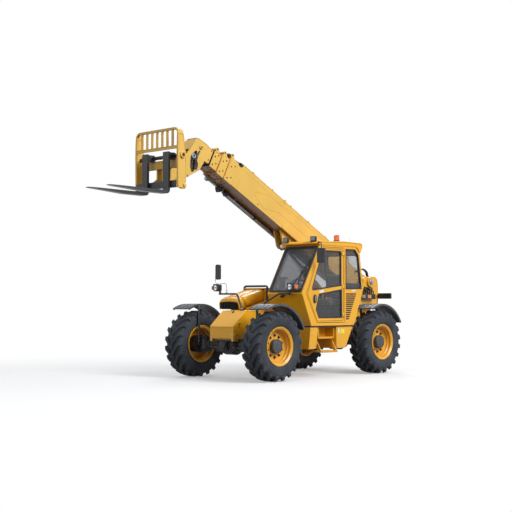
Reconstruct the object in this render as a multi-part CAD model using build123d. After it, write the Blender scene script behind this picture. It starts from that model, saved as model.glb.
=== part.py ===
from build123d import *
import os
from math import cos, radians, sin

# A four-wheel-drive, four-wheel-steer telehandler with a side cab and a four-section boom.
# Axes: +X forward, +Y to the machine's left, +Z up, ground at Z = 0, millimetres.
# Every piece is drawn with X from the front axle and Y from the machine's centre plane, and
# moved by `front_axle_x` and `centre_plane_y` when it is kept, so that the origin is on the
# ground under the middle of the overall box, whose left side is the mirror's.

# ---------------------------------------------------------------- driving dimensions
front_axle_x = 410
centre_plane_y = -90
wheelbase = 2960
track = 1890
tyre_radius = 600
tyre_width = 400
rim_radius = 336
frame_half_width = 280
frame_plate = 45

rear_axle_x = -wheelbase
axle_z = tyre_radius
wheel_y = track / 2
kingpin_y = wheel_y - 245

boom_angle = 27.1
boom_pivot_x = rear_axle_x - 540
boom_pivot_z = 1760
boom_pin_radius = 50
boom_half_width = 170
boom_up = 183
boom_down = 222

cab_left_y = 1060
cab_right_y = 250
cab_plate = 45
glass = 6

hood_left_y = -300
hood_right_y = -825

carriage_half_width = 520
fork_length = 1250

moving_gap = 8
pin_gap = 0.1


# ---------------------------------------------------------------- drawing helpers
def block(x_range, y_range, z_range):
    """Box between two limits on each axis."""
    ranges = (x_range, y_range, z_range)
    size = [abs(high - low) for low, high in ranges]
    middle = [(high + low) / 2 for low, high in ranges]
    return Pos(*middle) * Box(*size)


def outline(points, radius=0):
    """Closed flat outline, with every corner rounded by the same radius."""
    face = make_face(Polyline(*points, close=True))
    return fillet(face.vertices(), radius) if radius else face


def side_plate(points, y_range, radius=0):
    """Plate whose outline is seen from the side, as (x, z) points."""
    face = Plane.XZ.offset(-y_range[1]) * outline(points, radius)
    return extrude(face, y_range[1] - y_range[0])


def plan_plate(points, z_range, radius=0):
    """Plate whose outline is seen from above, as (x, y) points."""
    face = Plane.XY.offset(z_range[0]) * outline(points, radius)
    return extrude(face, z_range[1] - z_range[0])


def rod(start, end, radius):
    """Round bar from one point to another."""
    way = Vector(*end) - Vector(*start)
    return extrude(Plane(origin=start, z_dir=way) * Circle(radius), way.length)


def cross_rod(x, z, radius, y_range):
    """Round bar along Y."""
    return rod((x, y_range[0], z), (x, y_range[1], z), radius)


def bent_bar(points, bend, radius):
    """Round bar along straight runs joined by tangent arcs."""
    path = FilletPolyline(*points, radius=bend)
    return sweep(Plane(origin=path @ 0, z_dir=path % 0) * Circle(radius), path)


def turned(profile, x, y, z, side):
    """Ring turned about a Y axis from (radius, distance outboard) points."""
    face = outline([(radius, side * outboard) for radius, outboard in profile])
    return Pos(x, y, z) * revolve(face, Axis.Y)


def both_sides(shape):
    """The shape and its mirror image on the other side of the machine."""
    return shape + mirror(shape, Plane.XZ)


nodes = {}


def keep(name, shape):
    """Add a piece, moved from the front axle to the machine's own origin."""
    nodes[name] = Pos(front_axle_x, centre_plane_y, 0) * shape


# ---------------------------------------------------------------- the boom's own axes
boom_place = Pos(boom_pivot_x, 0, boom_pivot_z) * Rot(0, -boom_angle, 0)


def boom_point(along, up):
    """Machine (x, z) of a place given along the boom and square to it."""
    turn = radians(boom_angle)
    x = boom_pivot_x + along * cos(turn) - up * sin(turn)
    z = boom_pivot_z + along * sin(turn) + up * cos(turn)
    return x, z


# ---------------------------------------------------------------- wheels
flange_out = 180
seat_radius = rim_radius - 30
disc_in = 28
disc_out = 44
hub_radius = 120
hub_out = 130
spindle_radius = 60
spindle_out = 100


def make_tyre(x, side):
    """Hollow tyre, open at its beads."""
    half = tyre_width / 2
    outside = [
        (seat_radius, flange_out - 36),
        (rim_radius - 16, flange_out - 28),
        (rim_radius + 4, flange_out - 18),
        (rim_radius + 26, half - 18),
        (rim_radius + 120, half),
        (tyre_radius - 45, half - 6),
        (tyre_radius, half - 45),
    ]
    inside = [
        (seat_radius - 20, flange_out - 82),
        (rim_radius + 14, flange_out - 68),
        (rim_radius + 110, half - 34),
        (tyre_radius - 94, half - 34),
        (tyre_radius - 48, half - 62),
    ]
    loops = [half_loop + [(r, -w) for r, w in reversed(half_loop)] for half_loop in (outside, inside)]
    solid, hollow = [turned(loop, x, side * wheel_y, axle_z, side) for loop in loops]
    return solid - hollow


def make_rim(x, side):
    """Deep-dished wheel with its hub cap, bored for the spindle."""
    barrel = rim_radius - 44
    profile = [
        (spindle_radius + pin_gap, disc_in),
        (spindle_radius + pin_gap, spindle_out + moving_gap),
        (0, spindle_out + moving_gap),
        (0, hub_out),
        (hub_radius - 14, hub_out),
        (hub_radius, hub_out - 12),
        (hub_radius, disc_out),
        (barrel - 30, disc_out),
        (barrel - 16, 62),
        (barrel - 16, 92),
        (barrel, 106),
        (barrel, flange_out - 22),
        (rim_radius - 12, flange_out),
        (rim_radius, flange_out),
        (rim_radius, flange_out - 12),
        (rim_radius - 18, flange_out - 20),
        (seat_radius, flange_out - 30),
        (seat_radius, 60),
        (barrel - 4, 44),
        (barrel - 4, -70),
        (seat_radius, -90),
        (seat_radius, 30 - flange_out),
        (rim_radius - 18, 20 - flange_out),
        (rim_radius, 12 - flange_out),
        (rim_radius, -flange_out),
        (rim_radius - 12, -flange_out),
        (barrel, 22 - flange_out),
        (barrel, -98),
        (barrel - 16, -80),
        (barrel - 16, disc_in),
    ]
    return turned(profile, x, side * wheel_y, axle_z, side)


# ---------------------------------------------------------------- axles, knuckles and fenders
beam_radius = 78
kingpin_radius = 30
yoke_inner_z = 105
yoke_outer_z = 135
knuckle_radius = 77
housing_radius = 150
strut_x = 130
fender_centre_x = 30
fender_centre_z = axle_z + 20
fender_radius = tyre_radius + 100
fender_sheet = 14
fender_front_angle = 62


def make_axle(x, shaft_side):
    """Beam with its differential, yokes and drive-shaft half; shaft_side points inboard."""
    beam = cross_rod(x, axle_z, beam_radius, (100 - kingpin_y, kingpin_y - 100))
    case = cross_rod(x, axle_z, 175, (-110, 110)) + cross_rod(x, axle_z, 130, (-210, 210))
    nose = rod((x, 0, axle_z), (x + shaft_side * 300, 0, axle_z), pinion_radius)
    shaft = rod((x + shaft_side * 300, 0, axle_z), (x + shaft_side * 900, 0, axle_z + 20), 38)
    trunnion = rod((x, 0, axle_z), (x - shaft_side * 250, 0, axle_z), trunnion_radius)
    ram = cross_rod(x - shaft_side * 150, axle_z - 40, 34, (-240, 240))
    ram_rod = cross_rod(x - shaft_side * 150, axle_z - 40, 16, (280 - kingpin_y, kingpin_y - 280))
    ram_foot = block((x - shaft_side * 160, x), (-60, 60), (axle_z - 70, axle_z - 10))
    yoke = block(
        (x - 68, x + 68), (kingpin_y - 120, kingpin_y - 88),
        (axle_z - yoke_outer_z, axle_z + yoke_outer_z),
    )
    for low in (yoke_inner_z, -yoke_outer_z):
        high = low + yoke_outer_z - yoke_inner_z
        yoke += block((x - 62, x + 62), (kingpin_y - 100, kingpin_y + 42), (axle_z + low, axle_z + high))
    bore = rod((x, kingpin_y, axle_z - 200), (x, kingpin_y, axle_z + 200), kingpin_radius + pin_gap)
    return beam + case + nose + shaft + trunnion + ram + ram_rod + ram_foot + both_sides(yoke - bore)


def make_knuckle(x, side):
    """Steered knuckle with kingpin, final-drive housing, spindle and fender lug."""
    half = yoke_inner_z - moving_gap
    body = rod((x, kingpin_y, axle_z - half), (x, kingpin_y, axle_z + half), knuckle_radius)
    pin_half = yoke_outer_z + 12
    pin = rod((x, kingpin_y, axle_z - pin_half), (x, kingpin_y, axle_z + pin_half), kingpin_radius)
    neck = cross_rod(x, axle_z, 70, (kingpin_y, kingpin_y + 100))
    housing = cross_rod(x, axle_z, housing_radius, (kingpin_y + 92, wheel_y + disc_in - 12))
    spindle = cross_rod(x, axle_z, spindle_radius, (kingpin_y + 100, wheel_y + spindle_out))
    lug = block((x, x + strut_x + 22), (kingpin_y - 10, kingpin_y + 30), (axle_z - 12, axle_z + 40))
    shape = body + pin + neck + housing + spindle + lug
    return shape if side > 0 else mirror(shape, Plane.XZ)


def make_fender(x, side, rear_angle):
    """Curved wheel cover standing on a bent strut."""
    centre = (x + fender_centre_x, fender_centre_z)
    ring = Circle(fender_radius) - Circle(fender_radius - fender_sheet)
    reach = fender_radius * 1.4
    turns = [radians(a) for a in (fender_front_angle, (fender_front_angle + rear_angle) / 2, rear_angle)]
    wedge = make_face(Polyline((0, 0), *[(reach * cos(a), reach * sin(a)) for a in turns], close=True))
    sheet = extrude(Plane.XZ.offset(-fender_out_y) * (ring & wedge), fender_out_y - fender_in_y)
    sheet = Pos(centre[0], 0, centre[1]) * sheet
    top = fender_centre_z + fender_radius - fender_sheet - 7
    strut_y = kingpin_y + 10
    path = [
        (x + strut_x, strut_y, axle_z + 40), (x + strut_x, strut_y, top),
        (x + strut_x, fender_out_y - 70, top),
    ]
    shape = sheet + bent_bar(path, 40, 14)
    return shape if side > 0 else mirror(shape, Plane.XZ)


trunnion_radius = 42
pinion_radius = 95
fender_in_y = kingpin_y + 42
fender_out_y = wheel_y + 205
axles = {"front": (0, -1, 158), "rear": (rear_axle_x, 1, 150)}
for axle_name, (axle_x, shaft_side, rear_angle) in axles.items():
    keep(f"{axle_name}_axle", make_axle(axle_x, shaft_side))
    for side_name, side in (("left", 1), ("right", -1)):
        corner = f"{axle_name}_{side_name}"
        keep(f"{corner}_tyre", make_tyre(axle_x, side))
        keep(f"{corner}_rim", make_rim(axle_x, side))
        keep(f"{corner}_knuckle", make_knuckle(axle_x, side))
        keep(f"{corner}_fender", make_fender(axle_x, side, rear_angle))

# ---------------------------------------------------------------- chassis
rail_y = (frame_half_width - frame_plate, frame_half_width)
frame_top_z = axle_z + 300
rail_low_z = axle_z - 60
hump_z = axle_z + 100
nose_back_x = -520
nose_front_x = 270
nose_top_z = 1200
tail_x = rear_axle_x - 780
tower_in_y = boom_half_width + 205
tower_out_y = tower_in_y + 45
tower_shelf_z = axle_z + 640
lift_foot_x = boom_pivot_x
lift_foot_z = axle_z + 170
lift_pin_radius = 40
foot_half_width = 74
foot_lug = 35


def hanger(x, hole_radius):
    """Plate across the rails that an axle's round nose or trunnion sits in."""
    reach = hole_radius + 40
    plate = block((x, x + 30), (-reach, reach), (axle_z - reach, hump_z + 40))
    plate += block((x, x + 30), (-rail_y[0], rail_y[0]), (hump_z - 10, hump_z + 50))
    return plate - rod((x - 5, 0, axle_z), (x + 35, 0, axle_z), hole_radius)


def chassis_frame():
    """Two rails, cross plates, axle hangers, boom tower and its two pins."""
    side = [
        (tail_x, hump_z), (rear_axle_x + 300, hump_z), (rear_axle_x + 500, rail_low_z),
        (nose_back_x - 120, rail_low_z), (nose_back_x, rail_low_z + 80), (nose_back_x, frame_top_z),
        (rear_axle_x + 60, frame_top_z), (rear_axle_x - 160, tower_shelf_z), (tail_x, tower_shelf_z),
    ]
    frame = both_sides(side_plate(side, rail_y))
    inner = (-rail_y[0], rail_y[0])
    floors = (
        ((rear_axle_x + 560, rear_axle_x + 810), (frame_top_z - 60, frame_top_z - 20)),
        ((-1500, -1250), (rail_low_z, rail_low_z + 60)),
        ((nose_back_x - 160, nose_back_x - 100), (hump_z, frame_top_z)),
        ((tail_x, lift_foot_x + 240), (hump_z - 80, hump_z - 40)),
        ((tail_x, tail_x + 40), (hump_z - 40, tower_shelf_z - 60)),
    )
    for x_range, z_range in floors:
        frame += block(x_range, inner, z_range)
    frame += hanger(rear_axle_x - 235, trunnion_radius) + hanger(rear_axle_x + 205, pinion_radius)
    foot = side_plate(
        [(lift_foot_x - 110, hump_z - 50), (lift_foot_x + 110, hump_z - 50),
         (lift_foot_x + 70, lift_foot_z + 80), (lift_foot_x - 70, lift_foot_z + 80)],
        (foot_half_width + moving_gap, foot_half_width + moving_gap + foot_lug),
    )
    shelf = block(
        (tail_x, rear_axle_x - 170), (-tower_out_y, tower_out_y), (tower_shelf_z, tower_shelf_z + 20),
    )
    shelf -= block(
        (tail_x + 40, rear_axle_x - 160), (-boom_half_width - 20, boom_half_width + 20), (1200, 1300),
    )
    tower = side_plate(
        [
            (tail_x - 50, tower_shelf_z + 20), (boom_pivot_x + 350, tower_shelf_z + 20),
            (boom_pivot_x + 270, boom_pivot_z - 200), (boom_pivot_x + 170, boom_pivot_z + 40),
            (boom_pivot_x + 80, boom_pivot_z + 100), (boom_pivot_x - 190, boom_pivot_z + 100),
            (tail_x - 30, boom_pivot_z + 40), (tail_x - 50, boom_pivot_z - 160),
        ],
        (tower_in_y, tower_out_y),
    )
    boss = cross_rod(boom_pivot_x, boom_pivot_z, boom_pin_radius + 45, (tower_out_y, tower_out_y + 40))
    frame += shelf + both_sides(foot + tower + boss)
    frame -= cross_rod(boom_pivot_x, boom_pivot_z, boom_pin_radius, (-600, 600))
    frame -= cross_rod(lift_foot_x, lift_foot_z, lift_pin_radius, (-200, 200))
    return frame


def chassis_nose():
    """Welded box over the front axle, with a sloped top and two tie-down holes."""
    cheek = [
        (nose_front_x, 670), (nose_front_x, 930), (-50, nose_top_z), (nose_back_x, nose_top_z),
        (nose_back_x, 700), (130, 700), (150, 670),
    ]
    nose = both_sides(side_plate(cheek, rail_y))
    width = (-rail_y[0], rail_y[0])
    slope = [(nose_front_x, 910), (nose_front_x, 930), (-50, nose_top_z), (-50, nose_top_z - 20)]
    nose += side_plate(slope, width)
    nose += block((nose_back_x, -50), width, (nose_top_z - 16, nose_top_z))
    nose += block((nose_front_x - 20, nose_front_x), width, (720, 912))
    nose += hanger(205, trunnion_radius) + hanger(-235, pinion_radius)
    for x, z in tie_down_places:
        nose -= cross_rod(x, z, tie_down_radius, (-400, 400))
    return nose


def counterweight():
    """Cast block across the tail, with the tow pin's slot and bore."""
    plan = [
        (tail_x, -560), (tail_x, 560), (tail_x - 90, 560), (rear_end_x, 470), (rear_end_x, -470),
        (tail_x - 90, -560),
    ]
    block_shape = plan_plate(plan, weight_z)
    slot = block((rear_end_x - 10, tow_pin_x), (-70, 70), tow_slot_z)
    slot += rod((tow_pin_x, 0, tow_slot_z[0]), (tow_pin_x, 0, tow_slot_z[1]), 70)
    bore = rod((tow_pin_x, 0, weight_z[0] - 40), (tow_pin_x, 0, weight_z[1] + 20), tow_pin_radius)
    return block_shape - slot - bore


rear_end_x = tail_x - 160
tow_pin_x = tail_x - 105
tow_pin_radius = 20
weight_z = (axle_z + 40, axle_z + 580)
tow_slot_z = (axle_z + 160, axle_z + 240)
tie_down_radius = 26
tie_down_places = [(120, 960), (200, 760)]
pin_reach = tower_out_y + 55
keep("chassis_frame", chassis_frame())
keep("chassis_nose", chassis_nose())
keep("counterweight", counterweight())
foot_reach = foot_half_width + moving_gap + foot_lug
keep(
    "pivot_pins",
    cross_rod(boom_pivot_x, boom_pivot_z, boom_pin_radius, (-pin_reach, pin_reach))
    + cross_rod(lift_foot_x, lift_foot_z, lift_pin_radius, (-foot_reach, foot_reach)),
)

# ---------------------------------------------------------------- cab
door_hinge_x = -1852
cab_side = [
    (-905, 930), (-650, 1500), (-672, 1545), (-1160, 2380), (-2215, 2380), (-2330, 2260), (-2432, 1590),
    (-2140, 930),
]
door_side = [(-1062, 990), (-772, 1504), (-1040, 2110), (-1205, 2340), (-1852, 2340), (-1852, 990)]
door_upper_window = [(-925, 1600), (-1140, 2090), (-1232, 2285), (-1772, 2285), (-1772, 1652), (-953, 1560)]
door_lower_window = [(-1120, 1500), (-1788, 1590), (-1788, 1066), (-1111, 1066), (-1030, 1225)]
right_window = [(-800, 1560), (-1205, 2300), (-2180, 2300), (-2270, 2210), (-2380, 1600), (-1700, 1480)]
rear_side_window = [(-1900, 1590), (-1900, 2330), (-2190, 2330), (-2290, 2230), (-2390, 1600)]
cab_floor_z = 975
cab_roof_z = 2380
roof_top_z = 2448
door_gap = 8


def grown(points, by):
    """Outline offset outwards by a distance, or inwards when it is negative."""
    return offset(make_face(Polyline(*points, close=True)), by, kind=Kind.INTERSECTION)


def side_cut(face, y_range):
    """Solid that cuts a side-view face through between two Y planes."""
    return extrude(Plane.XZ.offset(-y_range[1]) * face, y_range[1] - y_range[0])


def cab_frame():
    """Welded cab: side frames, cross walls and floor, with every opening cut."""
    left = (cab_left_y - cab_plate, cab_left_y)
    right = (cab_right_y, cab_right_y + cab_plate)
    across = (right[1], left[0])
    side = side_plate(cab_side, left)
    side -= side_cut(grown(door_side, door_gap), (left[0] - 5, left[1] + 5))
    side -= side_plate(rear_side_window, (left[0] - 5, left[1] + 5))
    frame = side
    inner_side = side_plate(cab_side, right)
    inner_side -= side_plate(right_window, (right[0] - 5, right[1] + 5))
    frame += inner_side
    frame += block((-2135, -915), across, (930, cab_floor_z))
    front = [(-905, 930), (-650, 1500), (-672, 1545), (-712, 1545), (-700, 1500), (-955, 930)]
    frame += side_plate(front, across)
    back = [(-2140, 930), (-2432, 1590), (-2382, 1590), (-2090, 930)]
    frame += side_plate(back, across)
    header = [(-1150, 2362), (-1160, 2380), (-1230, 2380), (-1200, 2340)]
    frame += side_plate(header, across)
    rear_header = [(-2215, 2380), (-2330, 2260), (-2290, 2240), (-2170, 2345), (-2170, 2380)]
    frame += side_plate(rear_header, across)
    return frame


def cab_roof():
    """Roof shell with an overhanging lip at the rear and a raised front brow."""
    side = [
        (-1100, 2392), (-1085, 2402), (-1130, 2436), (-1240, 2440), (-1840, roof_top_z + 14),
        (-2360, roof_top_z), (-2400, 2400), (-2330, 2270), (-2262, 2350), (-2215, cab_roof_z + 1),
        (-1160, cab_roof_z + 1),
    ]
    return side_plate(side, (cab_right_y - 10, cab_left_y + 10), 3)


def slanted_glass(low, high, y_range):
    """Flat pane leaning between two (x, z) edges."""
    run = Vector(high[0] - low[0], high[1] - low[1])
    across = Vector(-run.Y, run.X).normalized() * glass
    corner_points = [
        low, high, (high[0] + across.X, high[1] + across.Y), (low[0] + across.X, low[1] + across.Y),
    ]
    return side_plate(corner_points, y_range)


left_pane_y = (cab_left_y - 26, cab_left_y - 26 + glass)
right_pane_y = (cab_right_y + 20, cab_right_y + 20 + glass)
keep("cab_frame", cab_frame())
keep("cab_roof", cab_roof())
keep(
    "cab_glass",
    side_plate(rear_side_window, left_pane_y)
    + side_plate(right_window, right_pane_y)
    + slanted_glass((-680, 1549), (-1148, 2348), (cab_right_y + cab_plate, cab_left_y - cab_plate))
    + slanted_glass((-2392, 1590), (-2305, 2238), (cab_right_y + cab_plate, cab_left_y - cab_plate)),
)


hinge_heights = (1130, 1640, 2240)
hinge_y = cab_left_y + 16


def cab_door():
    """Left door in one thickness, with two window holes, a handle and hinge barrels."""
    door = side_plate(door_side, (cab_left_y - cab_plate, cab_left_y))
    door -= side_plate(door_upper_window, (cab_left_y - 100, cab_left_y + 10))
    door -= side_plate(door_lower_window, (cab_left_y - 100, cab_left_y + 10))
    door += block((-1018, -972), (cab_left_y, cab_left_y + 28), (1357, 1467))
    for z in hinge_heights:
        door += rod((door_hinge_x, hinge_y, z - 35), (door_hinge_x, hinge_y, z + 35), 12)
        door += block((door_hinge_x, door_hinge_x + 70), (cab_left_y, hinge_y), (z - 30, z + 30))
    return door


keep("cab_door", cab_door())
keep(
    "door_glass",
    side_plate(door_upper_window, left_pane_y) + side_plate(door_lower_window, left_pane_y),
)

# ---------------------------------------------------------------- inside the cab
seat_y = (420, 900)


def operator_seat():
    pedestal = block((-2060, -1700), (500, 820), (cab_floor_z, 1290))
    cushion = block((-2080, -1600), seat_y, (1300, 1410))
    back = side_plate([(-2110, 1420), (-2000, 1420), (-2080, 1900), (-2180, 1900)], (430, 890), 20)
    return pedestal + cushion + back + block((-2080, -2000), (560, 760), (1280, 1440))


def steering_console():
    """Dashboard, column and steering wheel."""
    dash = side_plate(
        [
            (-950, cab_floor_z), (-738, 1450), (-800, 1560), (-960, 1560), (-1010, 1400),
            (-1000, cab_floor_z),
        ],
        (330, 980),
    )
    column = rod((-960, 660, 1430), (-1120, 660, 1640), 32)
    tilt = Plane(origin=(-1130, 660, 1655), z_dir=(-0.6, 0, 0.8))
    wheel = extrude(tilt * (Circle(195) - Circle(170)), 24)
    spokes = extrude(tilt * (Rectangle(350, 30) + Rectangle(30, 350) + Circle(45)), 16)
    return dash + column + wheel + spokes


keep("operator_seat", operator_seat())
keep("steering_console", steering_console())


# ---------------------------------------------------------------- under the cab
def side_tanks():
    """Fuel tank behind the steps and tool box ahead of them, hung from the left rail."""
    front = side_plate([(-905, 905), (-1120, 905), (-1060, 530), (-850, 520)], (440, 1040))
    rear = side_plate([(-1640, 905), (-2120, 905), (-1910, 520), (-1640, 520)], (440, 1040))
    bridge = block((-2050, -860), (frame_half_width, 460), (620, 880))
    return front + rear + bridge


def cab_steps():
    """Two treads below the cab door, the lower one hung on sloping straps."""
    steps = block((-1190, -1610), (790, 810), (700, 900))
    strap = [(850, 725), (920, 725), (1080, 455), (1010, 455)]
    for x in (-1190, -1630):
        steps += block((x, x + 20), (800, 1000), (700, 900))
        steps += extrude(Plane.YZ.offset(x) * outline(strap), 20)
    steps += block((-1190, -1610), (800, 1000), (700, 725))
    return steps + block((-1190, -1610), (880, 1080), (455, 480))


keep("side_tanks", side_tanks())
keep("cab_steps", cab_steps())

# ---------------------------------------------------------------- engine, its bay and hood
bay_back_x = -2250
hood_front_x = -480


def hood_shell(side, hollow_side):
    """Sheet cover: its side-view outline less a hollow, which leaves walls on both sides."""
    shell = side_plate(side, (hood_right_y, hood_left_y))
    return shell - side_plate(hollow_side, (hood_right_y + hood_wall, hood_left_y - hood_wall))


def engine_bay():
    """Housing on the right rail, behind the hood, with a tray under the radiator."""
    housing = side_plate(
        [(-880, 620), (-820, 1190), (-820, 1296), (-1180, 1380), (-1180, 1620), (bay_back_x, 1600),
         (bay_back_x, 900), (-2080, 620)],
        (hood_right_y, -frame_half_width),
    )
    hollow = side_plate(
        [(-860, 650), (-800, 1220), (-800, 1290), (-1150, 1372), (-1160, 1600), (-2230, 1580), (-2230, 920),
         (-2070, 650)],
        (hood_right_y + 20, -frame_half_width - 20),
    )
    tray = block((-822, hood_front_x), (-560, -frame_half_width), (1190, 1206))
    strip = side_plate(
        [(-836, 1200), (hood_front_x - 15, 1200), (hood_front_x - 15, 1218), (-680, 1218), (-690, 1252),
         (-836, 1288)],
        (hood_left_y - 18, hood_left_y + 4),
    )
    return housing - hollow + tray + strip


def engine_cowl():
    """Fixed front of the hood around the radiator grille."""
    side = [(-505, 1226), (hood_front_x, 1330), (-560, 1440), (-578, 1444), (-672, 1256), (-672, 1226)]
    hollow = [
        (-400, 1210), (-400, 1318), (hood_front_x, 1318), (-560, 1425), (-620, 1425), (-700, 1245),
        (-660, 1210),
    ]
    return hood_shell(side, hollow)


def engine_hood():
    """Hinged hood, cut at the front to swing clear of the lamp arm."""
    side = [(-586, 1448), (hood_hinge[0], hood_hinge[1]), (-1172, 1398), (-686, 1280), (-686, 1262)]
    hollow = [(-560, 1425), (-1150, 1578), (-1150, 1380), (-700, 1200), (-640, 1200)]
    hood = hood_shell(side, hollow)
    for y in (hood_right_y + 80, hood_left_y - 120):
        hood += cross_rod(hood_hinge[0], hood_hinge[1], 7, (y, y + 60))
    return hood


hood_wall = 18
hood_hinge = (-1172, 1600)
keep("engine_bay", engine_bay())
keep("engine_cowl", engine_cowl())
keep("engine_hood", engine_hood())
guard_x = -1215
guard_left_y = -frame_half_width + 24
guard_right_y = hood_right_y - 24
guard_top_z = 1655
guard_foot_y = ((-frame_half_width, guard_left_y), (guard_right_y, hood_right_y))
keep("engine_block", block((-2050, -1250), (-720, -360), (680, 1330)))
keep(
    "air_pre_cleaner",
    rod((-1900, -500, 1610), (-1900, -500, 1720), 60)
    + rod((-1900, -500, 1720), (-1900, -500, 1790), 75)
    + rod((-1900, -500, 1790), (-1900, -500, 1842), 120),
)
guard_feet = [block((guard_x - 16, guard_x + 16), y, (1356, 1396)) for y in guard_foot_y]
guard_route = [
    (guard_x, guard_left_y, 1350), (guard_x, guard_left_y, guard_top_z),
    (guard_x, guard_right_y, guard_top_z), (guard_x, guard_right_y, 1350),
]
keep("hood_guard", bent_bar(guard_route, 45, 20) + guard_feet[0] + guard_feet[1])

# ---------------------------------------------------------------- lights, mirrors and trim
lamp_x = -550
arm_z = 1505
arm_radius = 17
mirror_out_y = 1330


def headlight_arms():
    right = bent_bar([(-470, -205, 1215), (-470, -330, arm_z), (-545, -860, arm_z)], 90, arm_radius)
    left = bent_bar(
        [(-450, 205, 1215), (-450, 300, 1310), (-550, 620, arm_z), (-550, 900, arm_z)], 60, arm_radius,
    )
    arms = right + left
    for x, y in ((-470, -208), (-450, 208)):
        arms += block((x - 30, x + 30), (y - 25, y + 25), (nose_top_z, 1225))
    return arms


def headlights():
    lamp = block((lamp_x - 60, lamp_x + 60), (835, 985), (1550, 1690))
    lamp += block((lamp_x - 45, lamp_x + 45), (985, 1035), (1575, 1665))
    lamp += block((lamp_x - 15, lamp_x + 15), (835, 860), (arm_z + arm_radius, 1600))
    return both_sides(lamp)


def mirrors():
    """Left mirror on the roof's front corner, and right mirror on a thin stalk."""
    left = block((-985, -945), (1150, mirror_out_y), (2040, 2310))
    left_arm = bent_bar([(-1094, 1074, 2412), (-965, 1240, 2412), (-965, 1240, 2300)], 50, 10)
    right = block((-525, -485), (-915, -790), (1770, 2055))
    stalk = [(-505, -852, 1800), (-505, -900, 1700), (-518, -650, 1700), (-518, -650, arm_z + arm_radius)]
    right_arm = bent_bar(stalk, 20, 8)
    return left + left_arm + right + right_arm


keep("headlight_arms", headlight_arms())
keep("headlights", headlights())
keep("mirrors", mirrors())
keep(
    "beacon",
    rod((-1840, 900, roof_top_z + 14), (-1840, 900, 2485), 62)
    + rod((-1840, 900, 2485), (-1840, 900, 2600), 52),
)
keep(
    "work_lights",
    Pos(-1130, 940, 2490) * Box(70, 110, 90) + Pos(-1130, 290, 2490) * Box(70, 110, 90),
)
tail_lamp_y = (tower_out_y + 25, tower_out_y + 350)
tail_lamp_z = (boom_pivot_z - 340, boom_pivot_z - 225)
tail_arm_z = (boom_pivot_z - 310, boom_pivot_z - 260)
tail_lamp = block((tail_x - 38, tail_x), tail_lamp_y, tail_lamp_z)
tail_arm = block((tail_x - 30, tail_x - 10), (tower_out_y, tower_out_y + 40), tail_arm_z)
keep("tail_lights", both_sides(tail_lamp + tail_arm))
keep(
    "valve_box",
    block(
        (boom_pivot_x - 70, boom_pivot_x + 270), (tower_out_y, tower_out_y + 110),
        (boom_pivot_z - 350, boom_pivot_z - 245),
    ),
)

# ---------------------------------------------------------------- boom
sections = {
    # name: (half width, down, up, wall, rear end, collar start, collar end)
    "boom_base": (boom_half_width, boom_down, boom_up, 9, -190, 4070, 4265),
    "boom_section_2": (boom_half_width - 22, boom_down - 24, boom_up - 43, 8, 450, 4290, 4455),
    "boom_section_3": (boom_half_width - 43, boom_down - 47, boom_up - 93, 8, 600, 4480, 4642),
    "boom_head": (boom_half_width - 63, boom_down - 69, boom_up - 117, 8, 750, 4668, 4668),
}
collars = {
    # name: (half width, down, up)
    "boom_base": (boom_half_width + 14, boom_down + 18, boom_up + 23),
    "boom_section_2": (boom_half_width - 2, boom_down + 10, boom_up - 26),
    "boom_section_3": (boom_half_width - 20, boom_down - 17, boom_up - 79),
}


def box_section(half_width, down, up, along):
    return block(along, (-half_width, half_width), (-down, up))


def boom_tube(name, inner_name):
    """One telescopic section: a welded tube with a thick collar at its front end."""
    half_width, down, up, wall, back, collar_back, collar_front = sections[name]
    tube = box_section(half_width, down, up, (back, collar_front))
    if inner_name:
        ring_width, ring_down, ring_up = collars[name]
        tube += box_section(ring_width, ring_down, ring_up, (collar_back, collar_front))
    bore_front = collar_back + 10 if inner_name else collar_front + 10
    tube -= box_section(half_width - wall, down - wall, up - wall, (back - 10, bore_front))
    if inner_name:
        width, low, high = sections[inner_name][:3]
        gap = moving_gap - 2
        tube -= box_section(width + gap, low + gap, high + gap, (back, collar_front + 10))
    return tube


lug_inner_y = 62
lug_outer_y = 92
rod_eye_along = 2190
rod_eye_up = -390
hose_tray_y = (85, 165)


def boom_base():
    base = boom_tube("boom_base", "boom_section_2")
    pivot = cross_rod(0, 0, boom_pin_radius + 40, (-tower_in_y + moving_gap, tower_in_y - moving_gap))
    base += pivot
    base -= cross_rod(0, 0, boom_pin_radius + pin_gap, (-500, 500))
    lug = side_plate(
        [
            (1900, -boom_down), (2480, -boom_down), (rod_eye_along + 80, rod_eye_up - 60),
            (rod_eye_along - 80, rod_eye_up - 60),
        ],
        (lug_inner_y, lug_outer_y),
    )
    pad = cross_rod(rod_eye_along, rod_eye_up, 62, (lug_inner_y, lug_outer_y + 16))
    tray = block((480, 3960), hose_tray_y, (boom_up, boom_up + 72))
    guide = cross_rod(2680, boom_up + 75, 34, hose_tray_y)
    base += both_sides(lug + pad) + tray + guide
    return boom_place * base


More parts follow.
